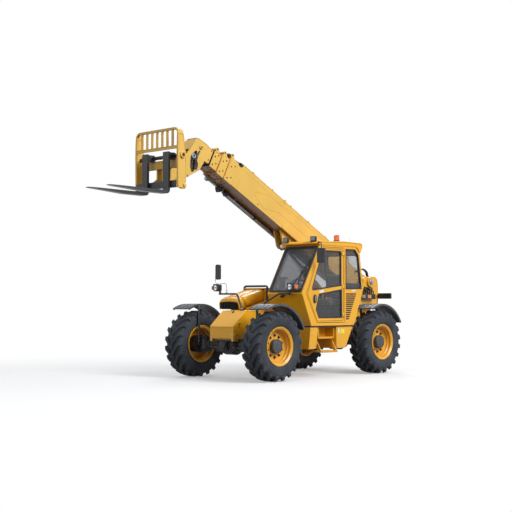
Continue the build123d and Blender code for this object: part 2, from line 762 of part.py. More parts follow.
def boom_head():
    """Front section and gooseneck, open below for the tilt cylinder and the carriage."""
    tube = boom_tube("boom_head", None)
    side = [
        (4668, -178), (4664, 88), (4770, 86), (4851, 97), (5090, 76), (5154, -222), (5204, -430),
        (5262, -800), (5262, -860), (5215, -920), (5160, -920), (5118, -880), (5040, -720), (4823, -425),
        (4798, -391), (4769, -191),
    ]
    cheek = side_plate(side, (head_in_y, head_out_y))
    cheek -= side_plate(
        [(4905, -445), (4960, -275), (5000, -135), (5030, -160), (5075, -285), (5010, -440), (4940, -520)],
        (head_in_y - 5, head_out_y + 5), 12,
    )
    cheek -= cross_rod(carriage_pivot[0], carriage_pivot[1], pivot_radius + pin_gap, (0, 300))
    cheek -= cross_rod(tilt_foot[0], tilt_foot[1], tilt_pin_radius, (0, 300))
    back = block((4668, 4690), (-head_in_y, head_in_y), (-178, 88)) - box_section(
        boom_half_width - 75, boom_down - 81, boom_up - 129, (4600, 4700),
    )
    crown = side_plate(
        [(4668, 70), (4668, 88), (4770, 86), (4851, 97), (5090, 76), (5088, 58), (4851, 79), (4770, 68)],
        (-head_in_y, head_in_y),
    )
    face = side_plate([(5090, 76), (5145, -180), (5127, -180), (5072, 70)], (-head_in_y, head_in_y))
    pin = cross_rod(tilt_foot[0], tilt_foot[1], tilt_pin_radius, (-head_out_y - 12, head_out_y + 12))
    return boom_place * (tube + both_sides(cheek) + back + crown + face + pin)


head_in_y = boom_half_width - 62
head_out_y = head_in_y + 24
carriage_pivot = (5189, -835)
pivot_radius = 32
tilt_foot = (4948, -26)
tilt_pin_radius = 24
pivot_place = boom_point(*carriage_pivot)
tilt_eye_rest = (pivot_place[0] + 20, pivot_place[1] + 260)
keep("boom_base", boom_base())
keep("boom_section_2", boom_place * boom_tube("boom_section_2", "boom_section_3"))
keep("boom_section_3", boom_place * boom_tube("boom_section_3", "boom_head"))
keep("boom_head", boom_head())

# ---------------------------------------------------------------- hydraulic cylinders
rod_gap = 6


def cylinder(foot, eye, reach, radii, half_widths):
    """Barrel and rod between two (x, z) eyes; reach is (barrel end, rod's inner end, bore's end)."""
    barrel_radius, rod_radius, eye_radius, pin_radius = radii
    start = Vector(foot[0], 0, foot[1])
    end = Vector(eye[0], 0, eye[1])
    way = (end - start).normalized()
    barrel_end, rod_start, bore_start = reach
    foot_half, eye_half = half_widths
    barrel = rod(start + way * eye_radius * 0.6, start + way * barrel_end, barrel_radius)
    barrel -= rod(start + way * bore_start, start + way * (barrel_end + 10), rod_radius + rod_gap)
    barrel += cross_rod(foot[0], foot[1], eye_radius, (-foot_half, foot_half))
    barrel -= cross_rod(foot[0], foot[1], pin_radius + pin_gap, (-200, 200))
    bar = rod(start + way * rod_start, end, rod_radius)
    bar += cross_rod(eye[0], eye[1], rod_radius + 12, (-eye_half, eye_half))
    return barrel, bar


lift_eye = boom_point(rod_eye_along, rod_eye_up)
lift_radii = (72, 40, 78, lift_pin_radius)
lift_barrel, lift_rod = cylinder(
    (lift_foot_x, lift_foot_z), lift_eye, (1990, 1100, 640), lift_radii, (foot_half_width, 54)
)
keep("lift_cylinder_barrel", lift_barrel)
keep("lift_cylinder_rod", lift_rod)

tilt_foot_place = boom_point(*tilt_foot)
tilt_barrel, tilt_rod = cylinder(
    tilt_foot_place, tilt_eye_rest, (500, 212, 66), (46, 24, 48, tilt_pin_radius), (38, 36)
)
keep("tilt_cylinder_barrel", tilt_barrel)
keep("tilt_cylinder_rod", tilt_rod)

ext_y = -140
ext_up = -262
keep(
    "extension_cylinder_barrel",
    boom_place * (
        rod((330, ext_y, ext_up), (3900, ext_y, ext_up), 26)
        + block((400, 480), (ext_y - 20, ext_y + 20), (ext_up, -boom_down))
        + block((3560, 3620), (ext_y - 20, ext_y + 20), (ext_up, -boom_down))
        - rod((390, ext_y, ext_up), (3910, ext_y, ext_up), 17)
    ),
)
keep(
    "extension_cylinder_rod",
    boom_place * (
        rod((660, ext_y, ext_up), (4360, ext_y, ext_up), 15)
        + block((4330, 4400), (ext_y - 28, ext_y + 28), (ext_up - 30, -collars["boom_section_2"][1]))
    ),
)

# ---------------------------------------------------------------- fork carriage and forks
# Drawn with X and Z from the carriage's pivot pin.
carriage_plate = 26
shaft_x = 215
shaft_z = 360
shaft_radius = 30
fork_shank_x = 330
fork_thickness = 50
fork_width = 130
fork_heel_z = -270
fork_top_z = 420
fork_tip_x = fork_shank_x + fork_length
blade_top_z = fork_heel_z + 55
forks = {"fork_left": 290, "fork_right": -220}
guard_top = 812
guard_strip = 34
guard_corner = 100


def arched(half_width, low, high, radius, x_range):
    """Plate seen from the front, with its two top corners rounded."""
    corners = [(-half_width, low), (half_width, low), (half_width, high), (-half_width, high)]
    face = make_face(Polyline(*corners, close=True))
    face = fillet(face.vertices().group_by(Axis.Y)[-1], radius)
    return extrude(Plane.YZ.offset(x_range[0]) * face, x_range[1] - x_range[0])


def fork_carriage():
    """Side plates, bars, back guard and the lugs that hang it on the boom head."""
    side = [
        (140, -80), (190, -175), (312, -175), (320, 420), (312, 780), (270, 810), (200, 760),
        (150, 450), (140, 320),
    ]
    width = (carriage_half_width - carriage_plate, carriage_half_width)
    across = (-width[0], width[0])
    frame = both_sides(side_plate(side, width))
    bars = (
        ((262, 322), (-165, -55)),
        ((140, 190), (180, 310)),
        ((280, 312), (465, 510)),
    )
    for x_range, z_range in bars:
        frame += block(x_range, across, z_range)
    hoop_x = (270, 312)
    frame += arched(width[1], 450, guard_top, guard_corner, hoop_x) - arched(
        width[0], 400, guard_top - guard_strip, guard_corner - guard_strip, (hoop_x[0] - 5, hoop_x[1] + 5),
    )
    frame &= arched(width[1], -300, guard_top, guard_corner, (-200, 400))
    slat_pitch = 2 * width[0] / 8
    for number in range(-3, 4):
        middle = number * slat_pitch
        frame += block((285, 305), (middle - 20, middle + 20), (510, guard_top - guard_strip + 5))
    lug = side_plate(
        [
            (155, 180), (155, 300), (60, 320), (-60, 240), (-60, -40),
            (-20, -90), (60, -90), (270, -160), (270, -60), (155, 20),
        ],
        (head_out_y + 10, head_out_y + 40),
    )
    frame += both_sides(lug)
    eye_lug = side_plate([(160, 180), (160, 310), (40, 310), (-10, 280), (-10, 240), (40, 210)], (52, 72))
    frame += both_sides(eye_lug) + both_sides(block((120, 150), (52, head_out_y + 38), (180, 310)))
    frame += cross_rod(0, 0, pivot_radius, (-head_out_y - 52, head_out_y + 52))
    frame -= cross_rod(shaft_x, shaft_z, shaft_radius, (-600, 600))
    return frame


def fork(middle_y):
    """L-shaped fork: hook over the shaft, shank, and a blade that thins to its tip."""
    width = (middle_y - fork_width / 2, middle_y + fork_width / 2)
    front_x = fork_shank_x + fork_thickness
    side = [
        (fork_shank_x, fork_top_z), (front_x, fork_top_z), (front_x, fork_heel_z + 50),
        (fork_shank_x + 90, blade_top_z), (fork_tip_x, blade_top_z), (fork_tip_x, blade_top_z - 12),
        (fork_shank_x + 500, fork_heel_z), (fork_shank_x + 60, fork_heel_z),
        (fork_shank_x, fork_heel_z + 50),
    ]
    hook = [
        (fork_shank_x, shaft_z - 40), (fork_shank_x, shaft_z + 50), (shaft_x, shaft_z + 60),
        (shaft_x - 56, shaft_z + 20), (shaft_x - 56, shaft_z - 20), (shaft_x, shaft_z - 50),
    ]
    shape = side_plate(side, width) + side_plate(hook, (middle_y - 45, middle_y + 45))
    return shape - cross_rod(shaft_x, shaft_z, shaft_radius + pin_gap, (-700, 700))


def keep_carried(name, shape):
    """Add a piece drawn from the carriage's pivot."""
    keep(name, Pos(pivot_place[0], 0, pivot_place[1]) * shape)


keep_carried("fork_carriage", fork_carriage())
shaft_reach = carriage_half_width + 12
keep_carried("fork_shaft", cross_rod(shaft_x, shaft_z, shaft_radius, (-shaft_reach, shaft_reach)))
for name, middle_y in forks.items():
    keep_carried(name, fork(middle_y))

# ---------------------------------------------------------------- write every piece
os.makedirs("parts", exist_ok=True)
for name, shape in nodes.items():
    solids = shape.solids()
    export_step(solids[0] if len(solids) == 1 else Compound(children=list(solids)), f"parts/{name}.step")
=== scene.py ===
from math import cos, pi, radians, sin, sqrt

import bmesh
import bpy
from mathutils import Matrix, Vector


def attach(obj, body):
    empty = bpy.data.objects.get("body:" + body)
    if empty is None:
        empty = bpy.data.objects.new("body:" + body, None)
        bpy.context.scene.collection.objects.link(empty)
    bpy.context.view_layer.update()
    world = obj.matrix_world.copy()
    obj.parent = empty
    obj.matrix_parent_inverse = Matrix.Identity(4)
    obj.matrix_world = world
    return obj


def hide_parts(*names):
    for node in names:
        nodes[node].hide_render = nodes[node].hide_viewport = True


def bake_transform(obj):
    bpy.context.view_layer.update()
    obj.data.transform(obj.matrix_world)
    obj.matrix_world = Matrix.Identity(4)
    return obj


# A telehandler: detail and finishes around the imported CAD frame. Metres, +X forward, +Y to its left.
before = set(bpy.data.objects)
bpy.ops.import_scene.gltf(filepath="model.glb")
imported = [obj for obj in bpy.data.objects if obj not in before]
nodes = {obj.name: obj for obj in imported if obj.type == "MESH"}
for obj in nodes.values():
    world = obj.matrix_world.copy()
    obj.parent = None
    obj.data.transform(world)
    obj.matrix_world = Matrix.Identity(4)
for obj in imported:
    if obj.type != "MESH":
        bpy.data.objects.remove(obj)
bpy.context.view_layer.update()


scene = bpy.context.scene

FRONT_X = 0.41
MIDDLE_Y = -0.09
REAR_AXLE_X = -2.96
PIVOT_X, PIVOT_Z = -3.5, 1.76


def at(x, y, z):
    """A place measured from the front axle and the machine's centre plane, in the frame."""
    return Vector((x + FRONT_X, y + MIDDLE_Y, z))


# ------------------------------------------------------------------ camera, light, floor
VIEW_YAW = radians(-137.475)
VIEW_PITCH = radians(2.6)
VIEW_PLACE = (13.216, 12.688, 1.338)
LENS_MM, SENSOR_MM = 72.72, 36
LAMP_TARGET = (0, 0, 1.5)
LAMPS = {
    # name: (place, size, power)
    "key": ((-1.5, 14.0, 10.5), 9, 2400),
    "fill": ((15.0, 2.0, 7.0), 7, 420),
    "rim": ((-11.0, -8.0, 9.0), 6, 700),
}
camera_data = bpy.data.cameras.new("camera")
camera_data.lens = LENS_MM
camera_data.sensor_width = SENSOR_MM
camera = bpy.data.objects.new("camera", camera_data)
scene.collection.objects.link(camera)
camera.location = at(*VIEW_PLACE)
look = Vector((cos(VIEW_PITCH) * cos(VIEW_YAW), cos(VIEW_PITCH) * sin(VIEW_YAW), sin(VIEW_PITCH)))
camera.rotation_euler = look.to_track_quat("-Z", "Y").to_euler()
camera_data.dof.use_dof = False
scene.camera = camera
scene.view_settings.view_transform = "Standard"


def area_light(name, place, target, size, power):
    data = bpy.data.lights.new(name, "AREA")
    data.shape = "DISK"
    data.size = size
    data.energy = power
    lamp = bpy.data.objects.new(name, data)
    scene.collection.objects.link(lamp)
    lamp.location = place
    lamp.rotation_euler = (Vector(target) - Vector(place)).to_track_quat("-Z", "Y").to_euler()


for lamp_name, (lamp_place, lamp_size, lamp_power) in LAMPS.items():
    area_light(lamp_name, lamp_place, LAMP_TARGET, lamp_size, lamp_power)

world = bpy.data.worlds.new("studio")
scene.world = world
world.use_nodes = True
tree = world.node_tree
tree.nodes.clear()


def shows_white(tree):
    """1 where a ray comes straight from the camera, a reflection or a glass pane."""
    path = tree.nodes.new("ShaderNodeLightPath")
    first = tree.nodes.new("ShaderNodeMath")
    first.operation = "MAXIMUM"
    second = tree.nodes.new("ShaderNodeMath")
    second.operation = "MAXIMUM"
    tree.links.new(path.outputs["Is Camera Ray"], first.inputs[0])
    tree.links.new(path.outputs["Is Transmission Ray"], first.inputs[1])
    tree.links.new(first.outputs[0], second.inputs[0])
    tree.links.new(path.outputs["Is Glossy Ray"], second.inputs[1])
    return second.outputs[0]


soft = tree.nodes.new("ShaderNodeBackground")
soft.inputs["Color"].default_value = (0.9, 0.93, 1.0, 1)
where = tree.nodes.new("ShaderNodeTexCoord")
parts = tree.nodes.new("ShaderNodeSeparateXYZ")
height = tree.nodes.new("ShaderNodeMapRange")
tree.links.new(where.outputs["Generated"], parts.inputs[0])
tree.links.new(parts.outputs["Z"], height.inputs["Value"])
height.inputs["From Min"].default_value = -0.05
height.inputs["From Max"].default_value = 0.55
height.inputs["To Min"].default_value = 0.13
height.inputs["To Max"].default_value = 0.6
tree.links.new(height.outputs["Result"], soft.inputs["Strength"])
white = tree.nodes.new("ShaderNodeBackground")
white.inputs["Color"].default_value = (1, 1, 1, 1)
white.inputs["Strength"].default_value = 1.0
mix = tree.nodes.new("ShaderNodeMixShader")
end = tree.nodes.new("ShaderNodeOutputWorld")
tree.links.new(shows_white(tree), mix.inputs["Fac"])
tree.links.new(soft.outputs[0], mix.inputs[1])
tree.links.new(white.outputs[0], mix.inputs[2])
tree.links.new(mix.outputs[0], end.inputs["Surface"])


# ------------------------------------------------------------------ materials
class Shader:
    """Small helper that builds a node material step by step."""

    def __init__(self, name, **values):
        self.material = bpy.data.materials.new(name)
        self.material.use_nodes = True
        self.tree = self.material.node_tree
        self.surface = self.tree.nodes["Principled BSDF"]
        for key, value in values.items():
            self.surface.inputs[key.replace("_", " ")].default_value = value
        self.place = self.tree.nodes.new("ShaderNodeTexCoord").outputs["Object"]

    def link(self, source, target):
        self.tree.links.new(source, target)
        return source

    def noise(self, scale, detail=4, stretch=(1, 1, 1), rough=0.5):
        mapping = self.tree.nodes.new("ShaderNodeMapping")
        mapping.inputs["Scale"].default_value = stretch
        self.link(self.place, mapping.inputs["Vector"])
        node = self.tree.nodes.new("ShaderNodeTexNoise")
        node.inputs["Scale"].default_value = scale
        node.inputs["Detail"].default_value = detail
        node.inputs["Roughness"].default_value = rough
        self.link(mapping.outputs[0], node.inputs["Vector"])
        return node.outputs["Fac"]

    def ramp(self, value, stops):
        node = self.tree.nodes.new("ShaderNodeValToRGB")
        elements = node.color_ramp.elements
        while len(elements) < len(stops):
            elements.new(0.5)
        for element, (position, colour) in zip(elements, stops):
            element.position = position
            element.color = (*colour, 1) if len(colour) == 3 else colour
        self.link(value, node.inputs["Fac"])
        return node.outputs["Color"]

    def math(self, kind, a, b):
        node = self.tree.nodes.new("ShaderNodeMath")
        node.operation = kind
        for value, socket in ((a, node.inputs[0]), (b, node.inputs[1])):
            if hasattr(value, "links"):
                self.link(value, socket)
            else:
                socket.default_value = value
        return node.outputs[0]

    def mixed(self, factor, a, b, kind="MIX"):
        node = self.tree.nodes.new("ShaderNodeMix")
        node.data_type = "RGBA"
        node.blend_type = kind
        for value, socket in ((factor, node.inputs[0]), (a, node.inputs[6]), (b, node.inputs[7])):
            if hasattr(value, "links"):
                self.link(value, socket)
            else:
                socket.default_value = (*value, 1) if isinstance(value, tuple) else value
        return node.outputs[2]

    def colour(self, value):
        self.link(value, self.surface.inputs["Base Color"])

    def rough(self, value):
        self.link(value, self.surface.inputs["Roughness"])

    def bump(self, height, strength, distance, normal=None):
        node = self.tree.nodes.new("ShaderNodeBump")
        node.inputs["Strength"].default_value = strength
        node.inputs["Distance"].default_value = distance
        self.link(height, node.inputs["Height"])
        if normal:
            self.link(normal, node.inputs["Normal"])
        self.link(node.outputs[0], self.surface.inputs["Normal"])

    def edge(self, radius):
        """(rounded normal, mask that is 1 near sharp edges)."""
        bevel = self.tree.nodes.new("ShaderNodeBevel")
        bevel.samples = 4
        bevel.inputs["Radius"].default_value = radius
        geometry = self.tree.nodes.new("ShaderNodeNewGeometry")
        dot = self.tree.nodes.new("ShaderNodeVectorMath")
        dot.operation = "DOT_PRODUCT"
        self.link(bevel.outputs[0], dot.inputs[0])
        self.link(geometry.outputs["Normal"], dot.inputs[1])
        mask = self.math("GREATER_THAN", self.math("SUBTRACT", 1.0, dot.outputs["Value"]), 0.03)
        return bevel.outputs[0], mask

    def height(self):
        split = self.tree.nodes.new("ShaderNodeSeparateXYZ")
        self.link(self.place, split.inputs[0])
        return split.outputs["Z"]


def shade(colour, factor):
    return tuple(min(1.0, channel * factor) for channel in colour)


def enamel(name, colour, rough=0.32, wear=(0.25, 0.2, 0.15), dust=0.0, underside_shade=0.0):
    """Machine paint: slight mottling, orange peel, worn edges with a painted highlight along them, dust low
    down and painted shade underneath.
    """
    s = Shader(name, Roughness=rough, Coat_Weight=0.12, Coat_Roughness=0.2)
    base = s.ramp(s.noise(2.2, 5), [(0.3, shade(colour, 0.93)), (0.7, shade(colour, 1.04))])
    normal, mask = s.edge(0.006)
    worn = s.math("MULTIPLY", mask, s.math("GREATER_THAN", s.noise(34, 6), 0.56))
    # painted highlight: near sharp edges the colour is lightened to 1.15 of the paint
    tone = s.mixed(s.math("MULTIPLY", mask, 0.25), base, shade(colour, 1.15))
    tone = s.mixed(s.math("MULTIPLY", worn, 0.55), tone, wear)
    if dust:
        low = s.ramp(s.height(), [(0.0, (1, 1, 1)), (0.9, (0, 0, 0))])
        patch = s.ramp(s.noise(7, 6), [(0.35, (0, 0, 0)), (0.75, (1, 1, 1))])
        tone = s.mixed(s.math("MULTIPLY", s.math("MULTIPLY", low, patch), dust), tone, (0.32, 0.27, 0.21))
    # painted shade: faces that point down are mixed towards dark brown
    if underside_shade:
        facing = s.tree.nodes.new("ShaderNodeSeparateXYZ")
        s.link(s.tree.nodes.new("ShaderNodeNewGeometry").outputs["Normal"], facing.inputs[0])
        below = s.ramp(s.math("MULTIPLY", facing.outputs["Z"], -1.0), [(0.3, (0, 0, 0)), (0.7, (1, 1, 1))])
        tone = s.mixed(s.math("MULTIPLY", below, underside_shade), tone, (0.2, 0.055, 0.008))
    s.colour(tone)
    s.rough(s.ramp(s.noise(9, 5), [(0.2, (rough - 0.06,) * 3), (0.8, (rough + 0.12,) * 3)]))
    s.bump(s.noise(420, 2), 0.08, 0.0006, normal)
    return s.material


def plain(name, colour, rough, spread=0.12, scale=12.0, grain=0.0, **values):
    """Cast, moulded or rolled material: mottled colour, uneven gloss and an optional grain."""
    s = Shader(name, Roughness=rough, **values)
    s.colour(s.ramp(s.noise(scale, 5), [(0.3, shade(colour, 1 - spread)), (0.7, shade(colour, 1 + spread))]))
    s.rough(s.ramp(s.noise(scale * 2.3, 4), [(0.2, (rough * 0.8,) * 3), (0.8, (min(1, rough * 1.25),) * 3)]))
    if grain:
        s.bump(s.noise(grain, 3), 0.25, 0.0008, s.edge(0.003)[0])
    return s.material


def rubber(name, colour, dust):
    """Tyre rubber: dusty on the flanks, scuffed on the lugs, with fine grain."""
    s = Shader(name, Roughness=0.8)
    s.surface.inputs["Specular IOR Level"].default_value = 0.3
    base = s.ramp(s.noise(5, 6), [(0.3, shade(colour, 0.8)), (0.75, shade(colour, 1.15))])
    cloud = s.ramp(s.noise(3.2, 6, rough=0.62), [(0.38, (0, 0, 0)), (0.7, (1, 1, 1))])
    s.colour(s.mixed(s.math("MULTIPLY", cloud, dust), base, (0.12, 0.13, 0.145)))
    s.rough(s.ramp(s.noise(14, 5), [(0.2, (0.66,) * 3), (0.8, (0.92,) * 3)]))
    s.bump(s.noise(150, 4), 0.3, 0.0012, s.edge(0.005)[0])
    return s.material


def brushed(name, colour, rough, stretch):
    """Bare metal with drawn lines along one axis."""
    s = Shader(name, Metallic=1.0, Roughness=rough)
    s.colour(s.ramp(s.noise(6, 4), [(0.3, shade(colour, 0.85)), (0.7, colour)]))
    lines = s.noise(60, 3, stretch)
    s.rough(s.ramp(lines, [(0.2, (rough * 0.7,) * 3), (0.8, (min(1, rough * 1.5),) * 3)]))
    s.bump(lines, 0.08, 0.0004)
    return s.material


def pane(name, colour, alpha):
    """Tinted safety glass that lets light through, with faint smears."""
    s = Shader(name, Roughness=0.05, Alpha=alpha)
    s.surface.inputs["Specular IOR Level"].default_value = 1.0
    s.colour(s.ramp(s.noise(1.6, 5), [(0.3, shade(colour, 0.9)), (0.7, shade(colour, 1.12))]))
    s.rough(s.ramp(s.noise(7, 6), [(0.35, (0.03,) * 3), (0.8, (0.13,) * 3)]))
    return s.material


def cloth(name, colour):
    """Woven seat cover: crossed threads, slight fading and a soft sheen."""
    s = Shader(name, Roughness=0.85, Sheen_Weight=0.3, Sheen_Roughness=0.5)
    warp = s.noise(260, 1, (1, 0.12, 1))
    weft = s.noise(260, 1, (0.12, 1, 1))
    weave = s.math("ADD", warp, weft)
    tone = s.ramp(s.noise(6, 5), [(0.3, shade(colour, 0.85)), (0.75, shade(colour, 1.15))])
    thread = s.ramp(weave, [(0.4, (0.6, 0.6, 0.6)), (0.6, (1, 1, 1))])
    s.colour(s.mixed(0.5, tone, thread, "MULTIPLY"))
    s.rough(s.ramp(weave, [(0.2, (0.75,) * 3), (0.8, (0.95,) * 3)]))
    s.bump(weave, 0.5, 0.0010)
    return s.material


def lens(name, colour, ribs, glow=0.0):
    """Moulded lamp lens with fine prisms."""
    s = Shader(name, Roughness=0.12, Coat_Weight=0.6)
    wave = s.tree.nodes.new("ShaderNodeTexWave")
    wave.inputs["Scale"].default_value = ribs
    wave.inputs["Distortion"].default_value = 0.4
    s.link(s.place, wave.inputs["Vector"])
    s.colour(s.ramp(wave.outputs["Fac"], [(0.1, shade(colour, 0.55)), (0.8, colour)]))
    s.rough(s.ramp(s.noise(20, 3), [(0.2, (0.08,) * 3), (0.8, (0.2,) * 3)]))
    s.bump(wave.outputs["Fac"], 0.35, 0.002)
    if glow:
        s.surface.inputs["Emission Color"].default_value = (*colour, 1)
        s.surface.inputs["Emission Strength"].default_value = glow
    return s.material


YELLOW = (0.84, 0.415, 0.012)
finishes = {
    # finish: (material, slot of the record)
    "yellow": (enamel("yellow_enamel", YELLOW, dust=0.18), "yellow_paint"),
    # the same yellow as the cab, made paler as painted sheen, with painted shade on faces that point down
    "boom_sheen_shade_paint": (enamel("boom_enamel_painted_sheen_shade", (0.73, 0.445, 0.075), dust=0.1, underside_shade=0.85), "yellow_paint"),
    "rim": (enamel("wheel_enamel", (0.83, 0.4, 0.012), 0.3, (0.2, 0.12, 0.06), dust=0.4), "yellow_paint"),
    "plastic": (plain("fender_plastic", (0.05, 0.056, 0.068), 0.45, 0.15, 6, 260), "dark_grey_paint"),
    "black": (enamel("black_enamel", (0.01, 0.011, 0.014), 0.38, (0.12, 0.12, 0.12), dust=0.25),
              "black_paint"),
    "fork": (enamel("fork_enamel", (0.01, 0.012, 0.016), 0.42, (0.16, 0.16, 0.17), dust=0.05), "fork_steel"),
    "cast": (plain("cast_black", (0.018, 0.018, 0.02), 0.6, 0.25, 18, 120), "cast_iron"),
    "hub": (plain("hub_grey", (0.055, 0.06, 0.068), 0.5, 0.2, 20, 160), "cast_iron"),
    "tyre": (rubber("tyre_rubber", (0.034, 0.04, 0.05), 0.3), "tyre"),
    "seal": (plain("seal_rubber", (0.012, 0.012, 0.014), 0.55, 0.2, 15, 200), "interior_plastic"),
    "hose": (plain("hose_rubber", (0.02, 0.02, 0.022), 0.42, 0.2, 30, 300), "interior_plastic"),
    "chrome": (brushed("chrome_rod", (0.75, 0.77, 0.8), 0.14, (1, 1, 1)), "chrome_rod"),
    "steel": (brushed("bare_steel", (0.42, 0.43, 0.45), 0.34, (1, 1, 8)), "bare_steel"),
    # bare steel, tinted blue as a painted reflection of the sky
    "tube": (brushed("steel_painted_sky_tint", (0.3, 0.36, 0.43), 0.36, (0.2, 1, 1)), "bare_steel"),
    "glass": (pane("tinted_glass", (0.13, 0.14, 0.15), 0.22), "window_glass"),
    "smoke": (pane("smoked_glass", (0.15, 0.175, 0.205), 0.5), "window_glass"),
    "lamp": (plain("lamp_housing", (0.02, 0.022, 0.027), 0.4, 0.15, 15, 240), "lamp_housing"),
    "clear": (lens("clear_lens", (0.42, 0.45, 0.48), 26), "window_glass"),
    "amber": (lens("amber_lens", (0.8, 0.16, 0.008), 34, 0.03), "amber_lens"),
    "red": (lens("red_lens", (0.16, 0.012, 0.008), 30), "amber_lens"),
    "fabric": (cloth("seat_fabric", (0.13, 0.14, 0.145)), "seat_fabric"),
    "trim": (plain("interior_plastic", (0.045, 0.047, 0.05), 0.6, 0.15, 9, 320), "interior_plastic"),
    "lining": (plain("roof_lining", (0.3, 0.29, 0.27), 0.9, 0.08, 9, 400), "interior_plastic"),
    "mirror": (brushed("mirror_silver", (0.82, 0.84, 0.86), 0.04, (1, 1, 1)), "chrome_rod"),
    "white": (plain("blank_label", (0.75, 0.75, 0.7), 0.35, 0.06, 20), "interior_plastic"),
    "lemon": (plain("yellow_label", (0.8, 0.75, 0.06), 0.35, 0.08, 20), "interior_plastic"),
    "orange": (plain("orange_label", (0.75, 0.28, 0.1), 0.4, 0.1, 20), "interior_plastic"),
}
paint = {name: material for name, (material, _) in finishes.items()}

look_of_node = {
    "yellow": "chassis_nose chassis_frame counterweight engine_bay cab_door cab_frame cab_roof side_tanks "
    "cab_steps lift_cylinder_barrel tilt_cylinder_barrel",
    "boom_sheen_shade_paint": "boom_base boom_section_2 boom_section_3 boom_head fork_carriage",
    "rim": "front_left_rim front_right_rim rear_left_rim rear_right_rim",
    "plastic": "front_left_fender front_right_fender rear_left_fender rear_right_fender",
    "cast": "front_axle rear_axle engine_block front_left_knuckle front_right_knuckle rear_left_knuckle "
    "rear_right_knuckle",
    "chrome": "lift_cylinder_rod tilt_cylinder_rod",
    "steel": "pivot_pins",
    "tube": "extension_cylinder_barrel extension_cylinder_rod",
    "glass": "cab_glass door_glass",
    "trim": "steering_console operator_seat",
}
for name, node in nodes.items():
    node.data.materials.clear()
    node.data.materials.append(paint["black"])
for look_name, members in look_of_node.items():
    for name in members.split():
        nodes[name].data.materials.clear()
        nodes[name].data.materials.append(paint[look_name])


# ------------------------------------------------------------------ geometry
MACHINE = Matrix.Translation((FRONT_X, MIDDLE_Y, 0))
BOOM_TILT = radians(27.1)
BOOM = MACHINE @ Matrix.Translation((PIVOT_X, 0, PIVOT_Z)) @ Matrix.Rotation(-BOOM_TILT, 4, "Y")
Y_UP = {"y": (0, 2, 1), "x": (1, 2, 0), "z": (0, 1, 2)}


def rounded(points, bend, steps=5, closed=False):
    """Points of a path whose corners are arcs of radius bend."""
    points = [Vector(p) for p in points]
    if bend <= 0:
        return points
    count = len(points)
    out = [] if closed else [points[0]]
    for i in range(count) if closed else range(1, count - 1):
        before, corner, after = points[i - 1], points[i], points[(i + 1) % count]
        a, b = (before - corner), (after - corner)
        angle = a.angle(b)
        if angle > pi - 0.02:
            out.append(corner)
            continue
        reach = min(bend / max(1e-6, sin(angle / 2) / cos(angle / 2)), a.length * 0.49, b.length * 0.49)
        radius = reach * sin(angle / 2) / cos(angle / 2)
        a, b = a.normalized(), b.normalized()
        centre = corner + (a + b).normalized() * (radius / sin(angle / 2))
        start, stop = corner + a * reach - centre, corner + b * reach - centre
        for k in range(steps + 1):
            out.append(centre + start.slerp(stop, k / steps) * radius)
    if not closed:
        out.append(points[-1])
    return out


def rectangle(a, b, low, high):
    """Corners of an upright rectangle, from its first lower one round to above it."""
    return [(a, low), (b, low), (b, high), (a, high)]


def spread(side, near, far):
    """Limits in Y, low one first, of what lies between two distances on a side."""
    return tuple(sorted((side * near, side * far)))


def inset(points, by):
    """Corners of an outline moved inwards by a distance."""
    count = len(points)
    area = sum(points[i][0] * points[(i + 1) % count][1] - points[(i + 1) % count][0] * points[i][1]
               for i in range(count))
    hand = by if area > 0 else -by
    out = []
    for i in range(count):
        here = Vector(points[i])
        a = (here - Vector(points[i - 1])).normalized()
        b = (Vector(points[(i + 1) % count]) - here).normalized()
        inward = Vector((-a.y - b.y, a.x + b.x)).normalized()
        out.append(tuple(here + inward * hand / max(0.3, inward.dot(Vector((-a.y, a.x))))))
    return out


